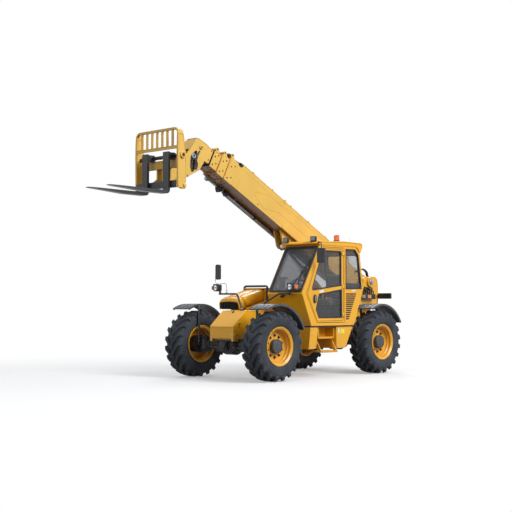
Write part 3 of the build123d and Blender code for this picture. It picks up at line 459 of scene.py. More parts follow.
class Kit:
    """Collects shapes drawn in one set of axes into a single named piece."""

    def __init__(self, axes=MACHINE):
        self.axes = axes
        self.bm = bmesh.new()

    def fill(self, rings, closed_path=False, cap=True):
        """Skin a list of equal rings of points."""
        rows = [[self.bm.verts.new(p) for p in ring] for ring in rings]
        pairs = list(zip(rows, rows[1:] + rows[:1])) if closed_path else list(zip(rows, rows[1:]))
        for low, high in pairs:
            for i in range(len(low)):
                j = (i + 1) % len(low)
                self.bm.faces.new((low[i], low[j], high[j], high[i]))
        if cap and not closed_path:
            self.bm.faces.new(rows[0][::-1])
            self.bm.faces.new(rows[-1])
        return self

    def block(self, x, y, z, turn=None):
        """Box between limits; turn = (axis, degrees) about its own middle."""
        low, high = Vector((min(x), min(y), min(z))), Vector((max(x), max(y), max(z)))
        middle = (low + high) / 2
        matrix = Matrix.Rotation(radians(turn[1]), 3, turn[0]) if turn else Matrix.Identity(3)
        corner = rectangle(low.x, high.x, low.y, high.y)
        rings = [[middle + matrix @ (Vector((*c, level)) - middle) for c in corner]
            for level in (low.z, high.z)]
        return self.fill(rings)

    def prism(self, points, span, axis="y", bend=0):
        """Flat outline pushed along an axis; points are (x, z), (y, z) or (x, y)."""
        flat = [Vector((a, b, 0)) for a, b in points]
        flat = rounded(flat, bend, 4, True)
        a, b, c = Y_UP[axis]
        rings = []
        for level in span:
            ring = []
            for p in flat:
                place = [0, 0, 0]
                place[a], place[b], place[c] = p.x, p.y, level
                ring.append(Vector(place))
            rings.append(ring)
        return self.fill(rings)

    def frame(self, outer, inner, span, bends=(0.004, 0.05)):
        """Flat surround between two outlines with as many corners, in X and Z, across a span of Y."""
        loops = [rounded([Vector((a, 0, b)) for a, b in loop], bend, 5, True)
                 for loop, bend in zip((outer, inner), bends)]
        count = len(loops[0])
        rings = []
        for k in range(count):
            places = ((loops[0][k], span[0]), (loops[0][k], span[1]), (loops[1][k], span[1]),
                (loops[1][k], span[0]))
            rings.append([Vector((p.x, y, p.z)) for p, y in places])
        return self.fill(rings, True)

    def sheet(self, rows):
        """Open surface through rows of equal length."""
        grid = [[self.bm.verts.new(p) for p in row] for row in rows]
        for low, high in zip(grid, grid[1:]):
            for i in range(len(low) - 1):
                self.bm.faces.new((low[i], low[i + 1], high[i + 1], high[i]))
        return self

    def tube(self, points, radius, bend=0.0, sides=12, closed=False, cap=True):
        """Round bar or hose along points; radius may be one number or one for each end."""
        path = rounded(points, bend, 5, closed)
        ends = radius if isinstance(radius, (tuple, list)) else (radius, radius)
        rings = []
        normal = None
        for i, p in enumerate(path):
            before = path[i - 1] if i or closed else path[0]
            after = path[(i + 1) % len(path)] if i + 1 < len(path) or closed else path[-1]
            way = (after - before).normalized()
            if normal is None:
                normal = way.orthogonal().normalized()
            normal = (normal - way * normal.dot(way)).normalized()
            side = way.cross(normal)
            size = ends[0] + (ends[1] - ends[0]) * i / max(1, len(path) - 1)
            turns = [2 * pi * k / sides for k in range(sides)]
            rings.append([p + (normal * cos(t) + side * sin(t)) * size for t in turns])
        return self.fill(rings, closed, cap)

    def rod(self, start, stop, radius, sides=8):
        """Straight round bar between two points."""
        return self.tube([start, stop], radius, sides=sides)

    def lathe(self, profile, place, way, sides=32, loop=False):
        """Shape turned about an axis through place; profile is (radius, distance along way)."""
        way = Vector(way).normalized()
        normal = way.orthogonal().normalized()
        side = way.cross(normal)
        rings = []
        for radius, along in profile:
            centre = Vector(place) + way * along
            turns = [2 * pi * k / sides for k in range(sides)]
            rings.append([centre + (normal * cos(t) + side * sin(t)) * max(radius, 1e-4) for t in turns])
        return self.fill(rings, loop)

    def reorder(self, order):
        """Swap the axes of every point so far, as in "yxz"."""
        for vertex in self.bm.verts:
            vertex.co = [vertex.co["xyz".index(axis)] for axis in order]
        return self

    def bolt(self, place, way, size=0.014, tall=0.010):
        """Hexagon head on a washer."""
        self.lathe([(size * 1.35, 0), (size * 1.35, tall * 0.25)], place, way, 16)
        return self.lathe([(size, tall * 0.25), (size, tall * 0.85), (size * 0.82, tall),
            (size * 0.35, tall)], place, way, 6)

    def bolts(self, places, way, size=0.014, tall=0.010):
        for place in places:
            self.bolt(place, way, size, tall)
        return self

    def ring_of_bolts(self, centre, way, radius, count, size, tall, start=0.0):
        way = Vector(way).normalized()
        normal = way.orthogonal().normalized()
        side = way.cross(normal)
        for k in range(count):
            t = start + 2 * pi * k / count
            self.bolt(Vector(centre) + (normal * cos(t) + side * sin(t)) * radius, way, size, tall)
        return self

    def done(self, name, finish, body="root", bevel=0.0, smooth=30, replaces=(), thick=0.0):
        """Make the object, in the frame, riding on a body."""
        bmesh.ops.recalc_face_normals(self.bm, faces=self.bm.faces)
        mesh = bpy.data.meshes.new(name)
        self.bm.to_mesh(mesh)
        self.bm.free()
        mesh.transform(self.axes)
        piece = bpy.data.objects.new(name, mesh)
        scene.collection.objects.link(piece)
        mesh.materials.append(paint[finish])
        mesh.shade_smooth()
        mesh.set_sharp_from_angle(angle=radians(smooth))
        if thick:
            wall = piece.modifiers.new("wall", "SOLIDIFY")
            wall.thickness = thick
            wall.offset = -1
        if bevel:
            edge = piece.modifiers.new("edge", "BEVEL")
            edge.width = bevel
            edge.segments = 2
            edge.limit_method = "ANGLE"
            edge.angle_limit = radians(38)
            edge.harden_normals = False
        if body:
            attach(piece, body)
        if replaces:
            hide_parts(*replaces)
        return piece


# ------------------------------------------------------------------ wheels
AXLE_Z = 0.6
WHEEL_Y = 0.945
CORNERS = {
    # corner: (axle x, side)
    "front_left": (0.0, 1),
    "front_right": (0.0, -1),
    "rear_left": (REAR_AXLE_X, 1),
    "rear_right": (REAR_AXLE_X, -1),
}
LUGS = 40
WHEEL_NUTS = 10
NUT_CIRCLE = 0.187
FENDER_X, FENDER_Z = 0.03, 0.62
KINGPIN_Y = 0.7
LUG_SWEEP = radians(20)
LUG_TOP = [(-0.012, 0.6), (0.05, 0.6), (0.1, 0.598), (0.15, 0.592), (0.185, 0.578), (0.202, 0.552),
    (0.2045, 0.51)]
LUG_BASE = [(-0.012, 0.546), (0.05, 0.547), (0.1, 0.545), (0.145, 0.54), (0.165, 0.531), (0.178, 0.515),
    (0.188, 0.495)]
CARCASS = [
    # (radius, distance outboard of the tyre's middle) of one half
    (0.316, 0.0), (0.316, 0.148), (0.33, 0.158), (0.338, 0.168), (0.352, 0.1795), (0.375, 0.19),
    (0.41, 0.198),
    (0.452, 0.2005), (0.464, 0.1995), (0.468, 0.203), (0.476, 0.203), (0.48, 0.198), (0.505, 0.191),
    (0.528, 0.178), (0.543, 0.158), (0.551, 0.11), (0.554, 0.04),
]


def tyre(corner, x, side):
    """Deep-lugged tyre: chevrons whose middles lead as the wheel rolls forward."""

    def place(turn, radius, out):
        return Vector((x + radius * sin(turn), side * (WHEEL_Y + out), AXLE_Z + radius * cos(turn)))

    kit = Kit()
    half = CARCASS[1:] + [(0.555, 0.0)] + [(r, -w) for r, w in reversed(CARCASS[1:])]
    kit.lathe(half + [(0.316, 0.0)], place(0, 0, 0), (0, side, 0), 120, True)
    for number in range(LUGS):
        hand = 1 if number % 2 else -1
        middle = 2 * pi * number / LUGS
        rings = []
        for (w, r), (w_low, r_low) in zip(LUG_TOP, LUG_BASE):
            t = min(1.0, max(0.0, w / 0.2))
            turn = middle - LUG_SWEEP * (1 - (1 - t) ** 1.6)
            slant = 1.6 * (1 - t) ** 0.6 * LUG_SWEEP * 3
            wide = (0.019 + 0.012 * t) * sqrt(1 + slant * slant)
            foot = wide + 0.011
            rings.append([
                place(turn - foot / r_low, r_low, hand * w_low), place(turn - wide / r, r, hand * w),
                place(turn + wide / r, r, hand * w), place(turn + foot / r_low, r_low, hand * w_low),
            ])
        kit.fill(rings)
    kit.done(f"{corner}_tyre_tread", "tyre", f"{corner}_wheel", 0.006, 30, [f"{corner}_tyre"])


def hub(corner, x, side):
    """Planetary hub cap, wheel nuts and valve."""
    centre, out = (x, side * WHEEL_Y, AXLE_Z), (0, side, 0)
    cap = Kit().lathe([(0.001, 0.1325), (0.082, 0.1325), (0.086, 0.1305), (0.114, 0.1305), (0.1215, 0.124),
        (0.1215, 0.112), (0.126, 0.11), (0.126, 0.1), (0.1215, 0.098), (0.1215, 0.046)], centre, out, 48)
    face = Vector(centre) + Vector(out) * 0.13
    cap.ring_of_bolts(face, out, 0.1, 10, 0.008, 0.008)
    cap.bolt(face + Vector((0.0, side * 0.002, 0.035)), out, 0.012, 0.008)
    cap.done(f"{corner}_hub_cap", "hub", f"{corner}_wheel", 0.002)
    nuts = Kit()
    disc = Vector(centre) + Vector(out) * 0.0435
    for k in range(WHEEL_NUTS):
        turn = 2 * pi * (k + 0.5) / WHEEL_NUTS
        spot = disc + Vector((cos(turn), 0, sin(turn))) * NUT_CIRCLE
        nuts.lathe([(0.026, 0), (0.026, 0.004)], spot, out, 20)
        nuts.lathe([(0.0185, 0.004), (0.0185, 0.022), (0.016, 0.025), (0.01, 0.025), (0.01, 0.036)], spot,
            out, 6)
    nuts.done(f"{corner}_wheel_nuts", "cast", f"{corner}_wheel", 0.0015)
    valve = Vector(centre) + Vector((0.232, side * 0.05, 0.06))
    Kit().lathe([(0.009, 0), (0.009, 0.014), (0.0045, 0.018), (0.0045, 0.045), (0.0065, 0.047),
        (0.0065, 0.06)], valve, out, 12).done(f"{corner}_valve", "seal", f"{corner}_wheel")


FENDER_PLACES = {"front": 158, "rear": 150}


def fender(corner, x, side):
    """Rolled lips and pressed ribs on the wheel cover, with the strut's clamp bolts."""
    far = FENDER_PLACES[corner.split("_")[0]]
    kit = Kit()

    def place(angle, radius, y):
        turn = radians(angle)
        return Vector((x + FENDER_X + radius * cos(turn), side * y, FENDER_Z + radius * sin(turn)))

    angles = [62 + (far - 62) * k / 28 for k in range(29)]
    strips = [
        # (inner y, outer y, low radius, high radius)
        (1.142, 1.156, 0.664, 0.704),
        (0.736, 0.75, 0.668, 0.704),
        (0.818, 0.834, 0.699, 0.7055),
        (0.938, 0.954, 0.699, 0.7055),
        (1.058, 1.074, 0.699, 0.7055),
    ]
    for y_in, y_out, low, high in strips:
        kit.fill([[place(a, low, y_in), place(a, high, y_in), place(a, high, y_out), place(a, low, y_out)]
            for a in angles])
    for end in (62, far):
        kit.rod(place(end, 0.693, 0.74), place(end, 0.693, 1.152), 0.0105, 10)
    kit.done(f"{corner}_fender_lip", "plastic", f"{corner}_steer", 0.002)
    strut = Kit().tube([(x + 0.13, side * 0.71, 0.64), (x + 0.13, side * 0.71, 1.29),
        (x + 0.13, side * 1.06, 1.29)], 0.0215, 0.06, 14)
    strut.lathe([(0.022, 0), (0.032, 0.0), (0.032, 0.03), (0.022, 0.036)], (x + 0.13, side * 0.71, 0.642),
        (0, 0, 1), 20)
    strut.done(f"{corner}_fender_strut", "black", f"{corner}_steer")
    bolts = Kit()
    for y in (0.80, 0.9, 1.0):
        bolts.bolt(place(83, 0.7, y), (0.1, 0, 1), 0.009, 0.006)
        bolts.bolt(place(76, 0.7, y), (0.2, 0, 1), 0.009, 0.006)
    bolts.done(f"{corner}_fender_bolts", "steel", f"{corner}_steer")


def kingpin(corner, x, side):
    """Kingpin covers, grease nipples and the ring of bolts on the final drive."""
    kit = Kit()
    y = side * KINGPIN_Y
    for way in (1, -1):
        top = (x, y, AXLE_Z + way * 0.1475)
        kit.lathe([(0.055, -0.012), (0.055, 0.006), (0.048, 0.012), (0.02, 0.014)], top, (0, 0, way), 28)
        kit.ring_of_bolts((x, y, AXLE_Z + way * 0.153), (0, 0, way), 0.041, 6, 0.0065, 0.006)
        kit.lathe([(0.006, 0), (0.006, 0.012), (0.0035, 0.02)], (x, y, AXLE_Z + way * 0.16), (0, 0, way), 10)
    face = (x, side * 0.796, AXLE_Z)
    kit.lathe([(0.1, -0.012), (0.162, -0.01), (0.162, 0.008), (0.15, 0.014)], face, (0, side, 0), 40)
    kit.ring_of_bolts((x, side * 0.786, AXLE_Z), (0, -side, 0), 0.145, 14, 0.009, 0.01)
    kit.done(f"{corner}_kingpin_caps", "cast", f"{corner}_steer", 0.0015)


for corner, (x, side) in CORNERS.items():
    tyre(corner, x, side)
    hub(corner, x, side)
    fender(corner, x, side)
    kingpin(corner, x, side)


# ------------------------------------------------------------------ axles
def axle_trim(name, x, face):
    """Differential cover bolts, beam flanges, drive flange, breather and brake lines."""
    kit = Kit()
    kit.ring_of_bolts((x + face * 0.178, 0, AXLE_Z), (face, 0, 0), 0.1, 12, 0.011, 0.012)
    for side in (1, -1):
        for y in (0.2, 0.5):
            kit.lathe([(0.08, -0.012), (0.094, -0.01), (0.094, 0.012), (0.08, 0.014)], (x, side * y, AXLE_Z),
                (0, side, 0), 32)
            kit.ring_of_bolts((x, side * (y + 0.01), AXLE_Z), (0, side, 0), 0.088, 10, 0.006, 0.008)
        route = [(x, side * 0.12, 0.77), (x + 0.03, side * 0.3, 0.72), (x + 0.02, side * 0.5, 0.705),
                 (x, side * 0.6, 0.75)]
        kit.tube(route, 0.007, 0.05, 8)
    kit.lathe([(0.012, 0), (0.012, 0.03), (0.02, 0.032), (0.02, 0.05), (0.008, 0.056)], (x, 0.06, 0.77),
        (0, 0, 1), 14)
    kit.done(f"{name}_trim", "cast", "root", 0.0015)


axle_trim("front_axle", 0.0, 1)
axle_trim("rear_axle", REAR_AXLE_X, -1)


# ------------------------------------------------------------------ nose, frame and tail
def nose():
    """Weld beads, corner bolts and hole rings on the box over the front axle."""
    kit = Kit()
    for side in (1, -1):
        y = side * 0.258
        kit.tube([(0.268, y, 0.9), (0.268, y, 0.93), (-0.05, y, 1.198), (-0.5, y, 1.202)], 0.0065, 0.02, 8)
        kit.tube([(0.268, side * 0.281, 0.68), (0.268, side * 0.281, 0.93), (-0.05, side * 0.281, 1.198),
            (-0.51, side * 0.281, 1.2)], 0.005, 0.01, 8)
        for x, z in ((0.12, 0.96), (0.2, 0.76)):
            kit.lathe([(0.027, -0.004), (0.027, 0.012), (0.046, 0.012), (0.046, -0.004)],
                (x, side * 0.281, z), (0, side, 0), 32, True)
    kit.rod((0.272, -0.235, 0.921), (0.272, 0.235, 0.921), 0.006)
    kit.rod((-0.05, -0.235, 1.2), (-0.05, 0.235, 1.2), 0.005)
    kit.done("nose_welds", "yellow")
    bolts = Kit()
    for side in (1, -1):
        for z in (0.715, 0.79):
            bolts.bolt((0.27, side * 0.255, z), (1, 0, 0), 0.011, 0.01)
        bolts.bolt((0.15, side * 0.28, 0.72), (0, side, 0), 0.016, 0.014)
        bolts.bolt((0.235, side * 0.28, 0.7), (0, side, 0), 0.011, 0.01)
    bolts.done("nose_bolts", "steel")
    cover = Kit().prism([(-0.086, 0.5115), (0.086, 0.5115), (0.086, 0.671), (0.24, 0.671), (0.24, 0.7),
        (-0.24, 0.7), (-0.24, 0.671), (-0.086, 0.671)], (0.2, 0.2405), "x", 0.004)
    cover.lathe([(0.05, 0.0), (0.075, 0.0), (0.075, 0.03), (0.06, 0.045), (0.03, 0.05), (0.0, 0.05)],
        (0.236, 0, 0.6), (1, 0, 0), 36)
    cover.lathe([(0.12, -0.05), (0.16, -0.045), (0.165, 0.0), (0.165, 0.05), (0.14, 0.07), (0.09, 0.09)],
        (0.09, 0, 0.6), (1, 0, 0), 40)
    cover.ring_of_bolts((0.281, 0, 0.6), (1, 0, 0), 0.045, 4, 0.009, 0.008)
    for side in (1, -1):
        cover.lathe([(0.08, -0.03), (0.115, -0.025), (0.122, 0.0), (0.122, 0.1), (0.105, 0.13),
            (0.08, 0.14)], (0.0, side * 0.24, 0.6), (0, side, 0), 36)
    cover.done("front_trunnion_cover", "cast", "root", 0.003)
    # painted shade: a dark disc stands for the shaded hole in the slope
    Kit().lathe([(0.001, 0.001), (0.02, 0.001), (0.023, 0.004), (0.026, 0.0), (0.02, -0.006)],
        (-0.022, 0.0, 1.1775), (0.646, 0, 0.763), 24).done("nose_hole_shade_disc", "seal")


def frame_trim():
    """Bolts along the rails, weld seams of the tower and the tail's edge strip."""
    bolts = Kit()
    for side in (1, -1):
        for x in (-0.62, -0.75, -2.2, -2.32, -3.1, -3.25):
            for z in (0.78, 0.86):
                bolts.bolt((x, side * 0.28, z), (0, side, 0), 0.012, 0.011)
        bolts.ring_of_bolts((PIVOT_X, side * 0.46, PIVOT_Z), (0, side, 0), 0.078, 6, 0.009, 0.008)
    bolts.done("frame_bolts", "steel")
    seams = Kit()
    for side in (1, -1):
        seams.lathe([(0.095, -0.003), (0.106, -0.003), (0.098, 0.008)], (PIVOT_X, side * 0.42, PIVOT_Z),
            (0, side, 0), 36, True)
        edge = [(-3.78, 1.27), (-3.785, 1.62), (-3.765, 1.795), (-3.69, 1.852), (-3.43, 1.852),
            (-3.335, 1.79), (-3.235, 1.55), (-3.155, 1.27)]
        seams.tube([(a, side * 0.4205, b) for a, b in edge], 0.005, 0.06, 8)
        seams.tube([(a, side * 0.3755, b) for a, b in edge], 0.005, 0.06, 8)
    seams.done("tower_seams", "yellow")
    for side, hand in ((1, "left"), (-1, "right")):
        nut = Kit().lathe([(0.0, 0.0), (0.052, 0.0), (0.052, 0.012), (0.045, 0.016), (0.0, 0.016)],
            (PIVOT_X, side * 0.474, PIVOT_Z), (0, side, 0), 36)
        nut.lathe([(0.036, 0.012), (0.036, 0.034), (0.03, 0.04), (0.001, 0.04)],
            (PIVOT_X, side * 0.474, PIVOT_Z), (0, side, 0), 6)
        nut.done(f"pivot_nut_{hand}", "steel", "root", 0.002)


def tail():
    """Casting lines, lifting eyes and bolts on the counterweight, and the towing pin's guide rings."""
    kit = Kit()
    for z in (0.645, 1.175):
        kit.tube(((-3.745, 0.555, z), (-3.83, 0.556, z), (-3.896, 0.47, z), (-3.896, -0.47, z),
            (-3.83, -0.556, z), (-3.745, -0.555, z)), 0.008, 0.03, 8)
    for y in (0.38, -0.38):
        kit.tube([(-3.86, y - 0.04, 1.175), (-3.86, y - 0.04, 1.235), (-3.86, y + 0.04, 1.235),
            (-3.86, y + 0.04, 1.175)], 0.011, 0.035, 10)
    for z, way in ((1.181, 1), (0.639, -1)):
        kit.lathe([(0.022, -0.004), (0.022, 0.01), (0.04, 0.01), (0.044, -0.004)], (-3.845, 0, z),
            (0, 0, way), 28, True)
    kit.done("tail_casting_lines", "yellow")
    bolts = Kit()
    for y in (0.5, 0.25, -0.25, -0.5):
        for z in (0.74, 1.08):
            x = -3.901 if abs(y) < 0.4 else -3.878
            bolts.bolt((x, y, z), (-1, 0, 0) if abs(y) < 0.4 else (-0.79, 0.61 * (1 if y > 0 else -1), 0),
                0.017, 0.014)
    bolts.done("tail_bolts", "steel")


nose()
frame_trim()
tail()


# ------------------------------------------------------------------ hood and engine side
HOOD_LEFT, HOOD_RIGHT = -0.30, -0.825


def arch(top, low, narrow=0.0, corner=0.055, crown=0.012):
    """Cross-section of the hood between two (x, z) points: side, rounded shoulder, crowned top."""
    top, low = Vector(top), Vector(low)
    tall = (top - low).length
    left, right = HOOD_LEFT - narrow, HOOD_RIGHT + narrow
    points = [(left, 0.0), (left, tall * 0.5)]
    for k in range(7):
        turn = pi / 2 * k / 6
        points.append((left - corner * (1 - cos(turn)), tall - corner * (1 - sin(turn)) - crown))
    middle, half = (left + right) / 2, (left - right) / 2 - corner
    for k in range(1, 8):
        t = -1 + k / 4
        points.append((middle - half * t, tall - crown * t * t))
    points += [(left + right - y, up) for y, up in reversed(points[:9])]
    way = (top - low) / tall
    return [Vector((low.x + way.x * up, y, low.y + way.y * up)) for y, up in points]


def between(a, b, t):
    return tuple(p + (q - p) * t for p, q in zip(a, b))


def hood():
    """Pressed hood that opens, its fixed front with a grille, and the seam below it."""
    rows = [arch(between((-0.588, 1.449), (-1.174, 1.602), k / 8), between((-0.688, 1.272), (-1.172, 1.398),
        k / 8)) for k in range(9)]
    Kit().sheet(rows).done("hood_skin", "yellow", "hood", 0, 40, ["engine_hood"], 0.012)
    nose_rows = [
        # (top, low, narrowing)
        arch((-0.4835, 1.362), (-0.502, 1.226), 0.026, 0.04, 0.016),
        arch((-0.488, 1.378), (-0.506, 1.226), 0.012, 0.045, 0.015),
        arch((-0.5, 1.396), (-0.522, 1.226), 0.004, 0.05, 0.014),
        arch((-0.53, 1.424), (-0.565, 1.228), 0.0, 0.055, 0.013),
        arch((-0.58, 1.446), (-0.674, 1.256), 0.0, 0.055, 0.012),
    ]
    Kit().sheet(nose_rows).done("cowl_skin", "yellow", "root", 0, 40, ["engine_cowl"], 0.012)
    grille = Kit()
    left, right = HOOD_LEFT - 0.045, HOOD_RIGHT + 0.045
    grille.prism(rectangle(right, left, 1.222, 1.352), (-0.528, -0.51), "x", 0.02)
    for k in range(11):
        z = 1.233 + 0.0112 * k
        grille.block((-0.511, -0.499), (right + 0.012, left - 0.012), (z, z + 0.004), ("Y", 25))
    for k in range(6):
        y = left - 0.062 - 0.063 * k
        grille.block((-0.505, -0.495), (y - 0.004, y + 0.004), (1.224, 1.352))
    grille.done("radiator_grille", "seal")
    liner = Kit().block((-1.168, -1.156), (-0.8, -0.32), (1.41, 1.57))
    for k in range(5):
        liner.block((-1.156, -1.15), (-0.78, -0.34), (1.43 + 0.028 * k, 1.436 + 0.028 * k))
    liner.done("hood_bulkhead", "trim")
    catch = Kit()
    for y in (-0.43, -0.7):
        catch.block((-0.612, -0.596), (y - 0.018, y + 0.018), (1.4, 1.436))
    catch.done("hood_catches", "black", "hood", 0.003)
    ribs = Kit()
    for y in (-0.43, -0.7):
        ribs.rod((-0.66, y, 1.4725), (-1.08, y, 1.582), 0.006)
    ribs.done("hood_ribs", "yellow", "hood")


def bay():
    """Engine side: service panel, vents, latches and bolts on the right, seams on top."""
    y = HOOD_RIGHT
    dark = Kit()
    for row in range(9):
        z = 1.0 + 0.045 * row
        dark.prism([(-1.52, z), (-1.98, z), (-1.985, z + 0.016), (-1.515, z + 0.016)],
            (y - 0.003, y + 0.004), "y", 0.006)
    for row in range(6):
        z = 1.05 + 0.045 * row
        dark.prism([(-0.98, z), (-1.22, z), (-1.225, z + 0.016), (-0.975, z + 0.016)],
            (y - 0.003, y + 0.004), "y", 0.006)
    for x in (-1.02, -1.4, -1.82, -2.14):
        dark.prism(rectangle(x, x - 0.07, 0.76, 0.8), (y - 0.012, y + 0.002), "y", 0.012)
    dark.done("bay_vents", "seal", "root", 0.0015)
    lips = Kit()
    for outline in ([(-0.93, 0.7), (-0.885, 1.2), (-1.27, 1.2), (-1.27, 0.7)],
                    [(-1.31, 0.7), (-1.31, 1.5), (-2.19, 1.5), (-2.19, 0.93), (-2.03, 0.7)]):
        loop = [Vector((a, y - 0.001, b)) for a, b in outline]
        lips.tube(loop, 0.004, 0.04, 8, True)
    for x in (-1.3, -2.21):
        lips.rod((x, -0.815, 1.607), (x, -0.3, 1.607), 0.004)
    lips.rod((-1.19, -0.815, 1.617), (-2.245, -0.815, 1.598), 0.006)
    lips.rod((-1.19, -0.295, 1.617), (-2.245, -0.295, 1.598), 0.006)
    lips.done("bay_seams", "yellow")
    bolts = Kit()
    for x, z in ((-1.33, 0.72), (-1.33, 1.48), (-2.17, 1.48), (-2.17, 0.96), (-0.95, 0.72), (-1.25, 0.72),
            (-1.25, 1.18), (-0.91, 1.18)):
        bolts.bolt((x, y - 0.001, z), (0, -1, 0), 0.009, 0.007)
    bolts.done("bay_bolts", "steel")
    place = (-1.9, -0.5, 1.612)
    Kit().lathe([(0.085, 0), (0.085, 0.02), (0.07, 0.03), (0.062, 0.032), (0.062, 0.1), (0.068, 0.102),
        (0.068, 0.112)], place, (0, 0, 1), 32).done("pre_cleaner_base", "black", "root", 0.002)
    Kit().lathe([(0.0, 0.11), (0.076, 0.11), (0.076, 0.178), (0.07, 0.18), (0.0, 0.18)], place, (0, 0, 1),
        32).done("pre_cleaner_stem", "yellow", "root", 0.002)
    cap = Kit().lathe([(0.0, 0.178), (0.112, 0.178), (0.121, 0.186), (0.121, 0.216), (0.112, 0.226),
        (0.05, 0.231), (0.0, 0.2315)], place, (0, 0, 1), 40)
    for k in range(20):
        turn = 2 * pi * k / 20
        cap.block((-1.9 + 0.118 * cos(turn) - 0.004, -1.9 + 0.118 * cos(turn) + 0.004),
            (-0.5 + 0.118 * sin(turn) - 0.004, -0.5 + 0.118 * sin(turn) + 0.004), (1.799, 1.829),
            ("Z", 18 * k))
    cap.done("pre_cleaner_cap", "plastic", "root", 0.002, 30, ["air_pre_cleaner"])
    feet = Kit()
    for y_foot in (-0.268, -0.837):
        for z in (1.364, 1.388):
            feet.bolt((-1.215, y_foot, z), (0, 1 if y_foot > -0.5 else -1, 0), 0.008, 0.007)
    feet.done("guard_bolts", "steel")


hood()
bay()


# ------------------------------------------------------------------ cab shell
CAB_LEFT = 1.06
CAB_SIDE = [(-0.905, 0.93), (-0.65, 1.5), (-0.672, 1.545), (-1.16, 2.38), (-2.215, 2.38), (-2.33, 2.26),
            (-2.432, 1.59), (-2.14, 0.93)]
DOOR = [(-1.062, 0.99), (-0.772, 1.504), (-1.04, 2.11), (-1.205, 2.34), (-1.852, 2.34), (-1.852, 0.99)]
UPPER_WINDOW = [(-0.925, 1.6), (-1.14, 2.09), (-1.232, 2.285), (-1.772, 2.285), (-1.772, 1.652),
    (-0.953, 1.56)]
LOWER_WINDOW = [(-1.12, 1.5), (-1.788, 1.59), (-1.788, 1.066), (-1.111, 1.066), (-1.03, 1.225)]
REAR_SIDE_WINDOW = [(-1.9, 1.59), (-1.9, 2.33), (-2.19, 2.33), (-2.29, 2.23), (-2.39, 1.6)]
RIGHT_WINDOW = [(-0.8, 1.56), (-1.205, 2.3), (-2.18, 2.3), (-2.27, 2.21), (-2.38, 1.6), (-1.7, 1.48)]


def leaning(low, high):
    """Axes on a pane that leans between two (x, z) edges: X across, Y up the pane, Z outwards."""
    up = Vector((high[0] - low[0], 0, high[1] - low[1])).normalized()
    out = Vector((0, 1, 0)).cross(up)
    turn = Matrix(((0, up.x, out.x), (1, up.y, out.y), (0, up.z, out.z))).to_4x4()
    return MACHINE @ Matrix.Translation((low[0], 0, low[1])) @ turn


def side_seals():
    """Window rubbers with round corners; the panes sit behind them."""
    windows = (
        # (piece, outline, plane y, body, border, corner)
        ("door_upper_seal", UPPER_WINDOW, CAB_LEFT - 0.012, "door", 0.02, 0.045),
        ("door_lower_seal", LOWER_WINDOW, CAB_LEFT - 0.012, "door", 0.02, 0.045),
        ("rear_side_seal", REAR_SIDE_WINDOW, CAB_LEFT - 0.012, "root", 0.022, 0.06),
        ("right_window_seal", RIGHT_WINDOW, 0.262, "root", 0.025, 0.06),
    )
    for name, outline, y, body, border, corner in windows:
        kit = Kit().frame(inset(outline, -0.004), inset(outline, border), (y - 0.018, y + 0.014),
            (0.004, corner))
        kit.done(name, "seal", body, 0.003)
    band = Kit().prism([(-1.915, 1.605), (-1.915, 1.7), (-2.368, 1.7), (-2.379, 1.61)],
        (CAB_LEFT - 0.032, CAB_LEFT - 0.016))
    band.done("rear_side_band", "trim", "root", 0.003)


WINDSHIELD = leaning((-0.674, 1.549), (-1.142, 2.348))
REAR_PANE = leaning((-2.396, 1.59), (-2.309, 2.238))


def flat_frame(kit, low, high, wide, thick, corner):
    """Round-cornered rubber around a rectangle, drawn in the pane's own axes."""
    outer = rectangle(low[0], high[0], low[1], high[1])
    kit.frame(outer, inset(outer, wide), thick, (0.03, corner))
    kit.reorder("xzy")
    return kit


def front_glass():
    """Windshield rubber, wiper and washer jet; rear pane's rubber."""
    flat_frame(Kit(WINDSHIELD), (0.272, -0.022), (1.036, 0.935), 0.036, (-0.012, 0.016), 0.075).done(
        "windshield_seal", "seal", "root", 0.004)
    flat_frame(Kit(REAR_PANE), (0.28, -0.01), (1.03, 0.665), 0.03, (-0.01, 0.012), 0.05).done(
        "rear_pane_seal", "seal", "root", 0.003)
    tint = Kit(WINDSHIELD).prism(rectangle(0.3, 1.008, 0.006, 0.915), (-0.012, -0.0095), "z", 0.06)
    tint.done("windshield_tint", "smoke")
    wiper = Kit(WINDSHIELD)
    wiper.lathe([(0.03, -0.03), (0.03, 0.02), (0.024, 0.03)], (0.76, -0.045, 0.006), (0, 0, 1), 24)
    for shift in (0.0, 0.035):
        wiper.tube([(0.745 + shift, -0.04, 0.03), (0.755 + shift, 0.0, 0.045),
            (0.915 + shift * 0.7, 0.37, 0.04)], 0.0055, 0.02, 8)
    wiper.block((0.9, 0.955), (0.355, 0.395), (0.026, 0.05))
    wiper.tube([(0.9, 0.17, 0.026), (0.928, 0.375, 0.038), (0.975, 0.64, 0.026)], 0.0075, 0.1, 8)
    wiper.rod((0.898, 0.15, 0.012), (0.98, 0.67, 0.012), 0.006, 6)
    wiper.done("wiper", "seal", "root", 0.001)
    Kit().lathe([(0.0, 0), (0.034, 0), (0.034, 0.03), (0.026, 0.04), (0.026, 0.06), (0.018, 0.066),
        (0.0, 0.066)], (-0.655, 0.62, 1.475), (0.91, 0, -0.41), 24).done("wiper_motor", "seal", "root",
        0.002)


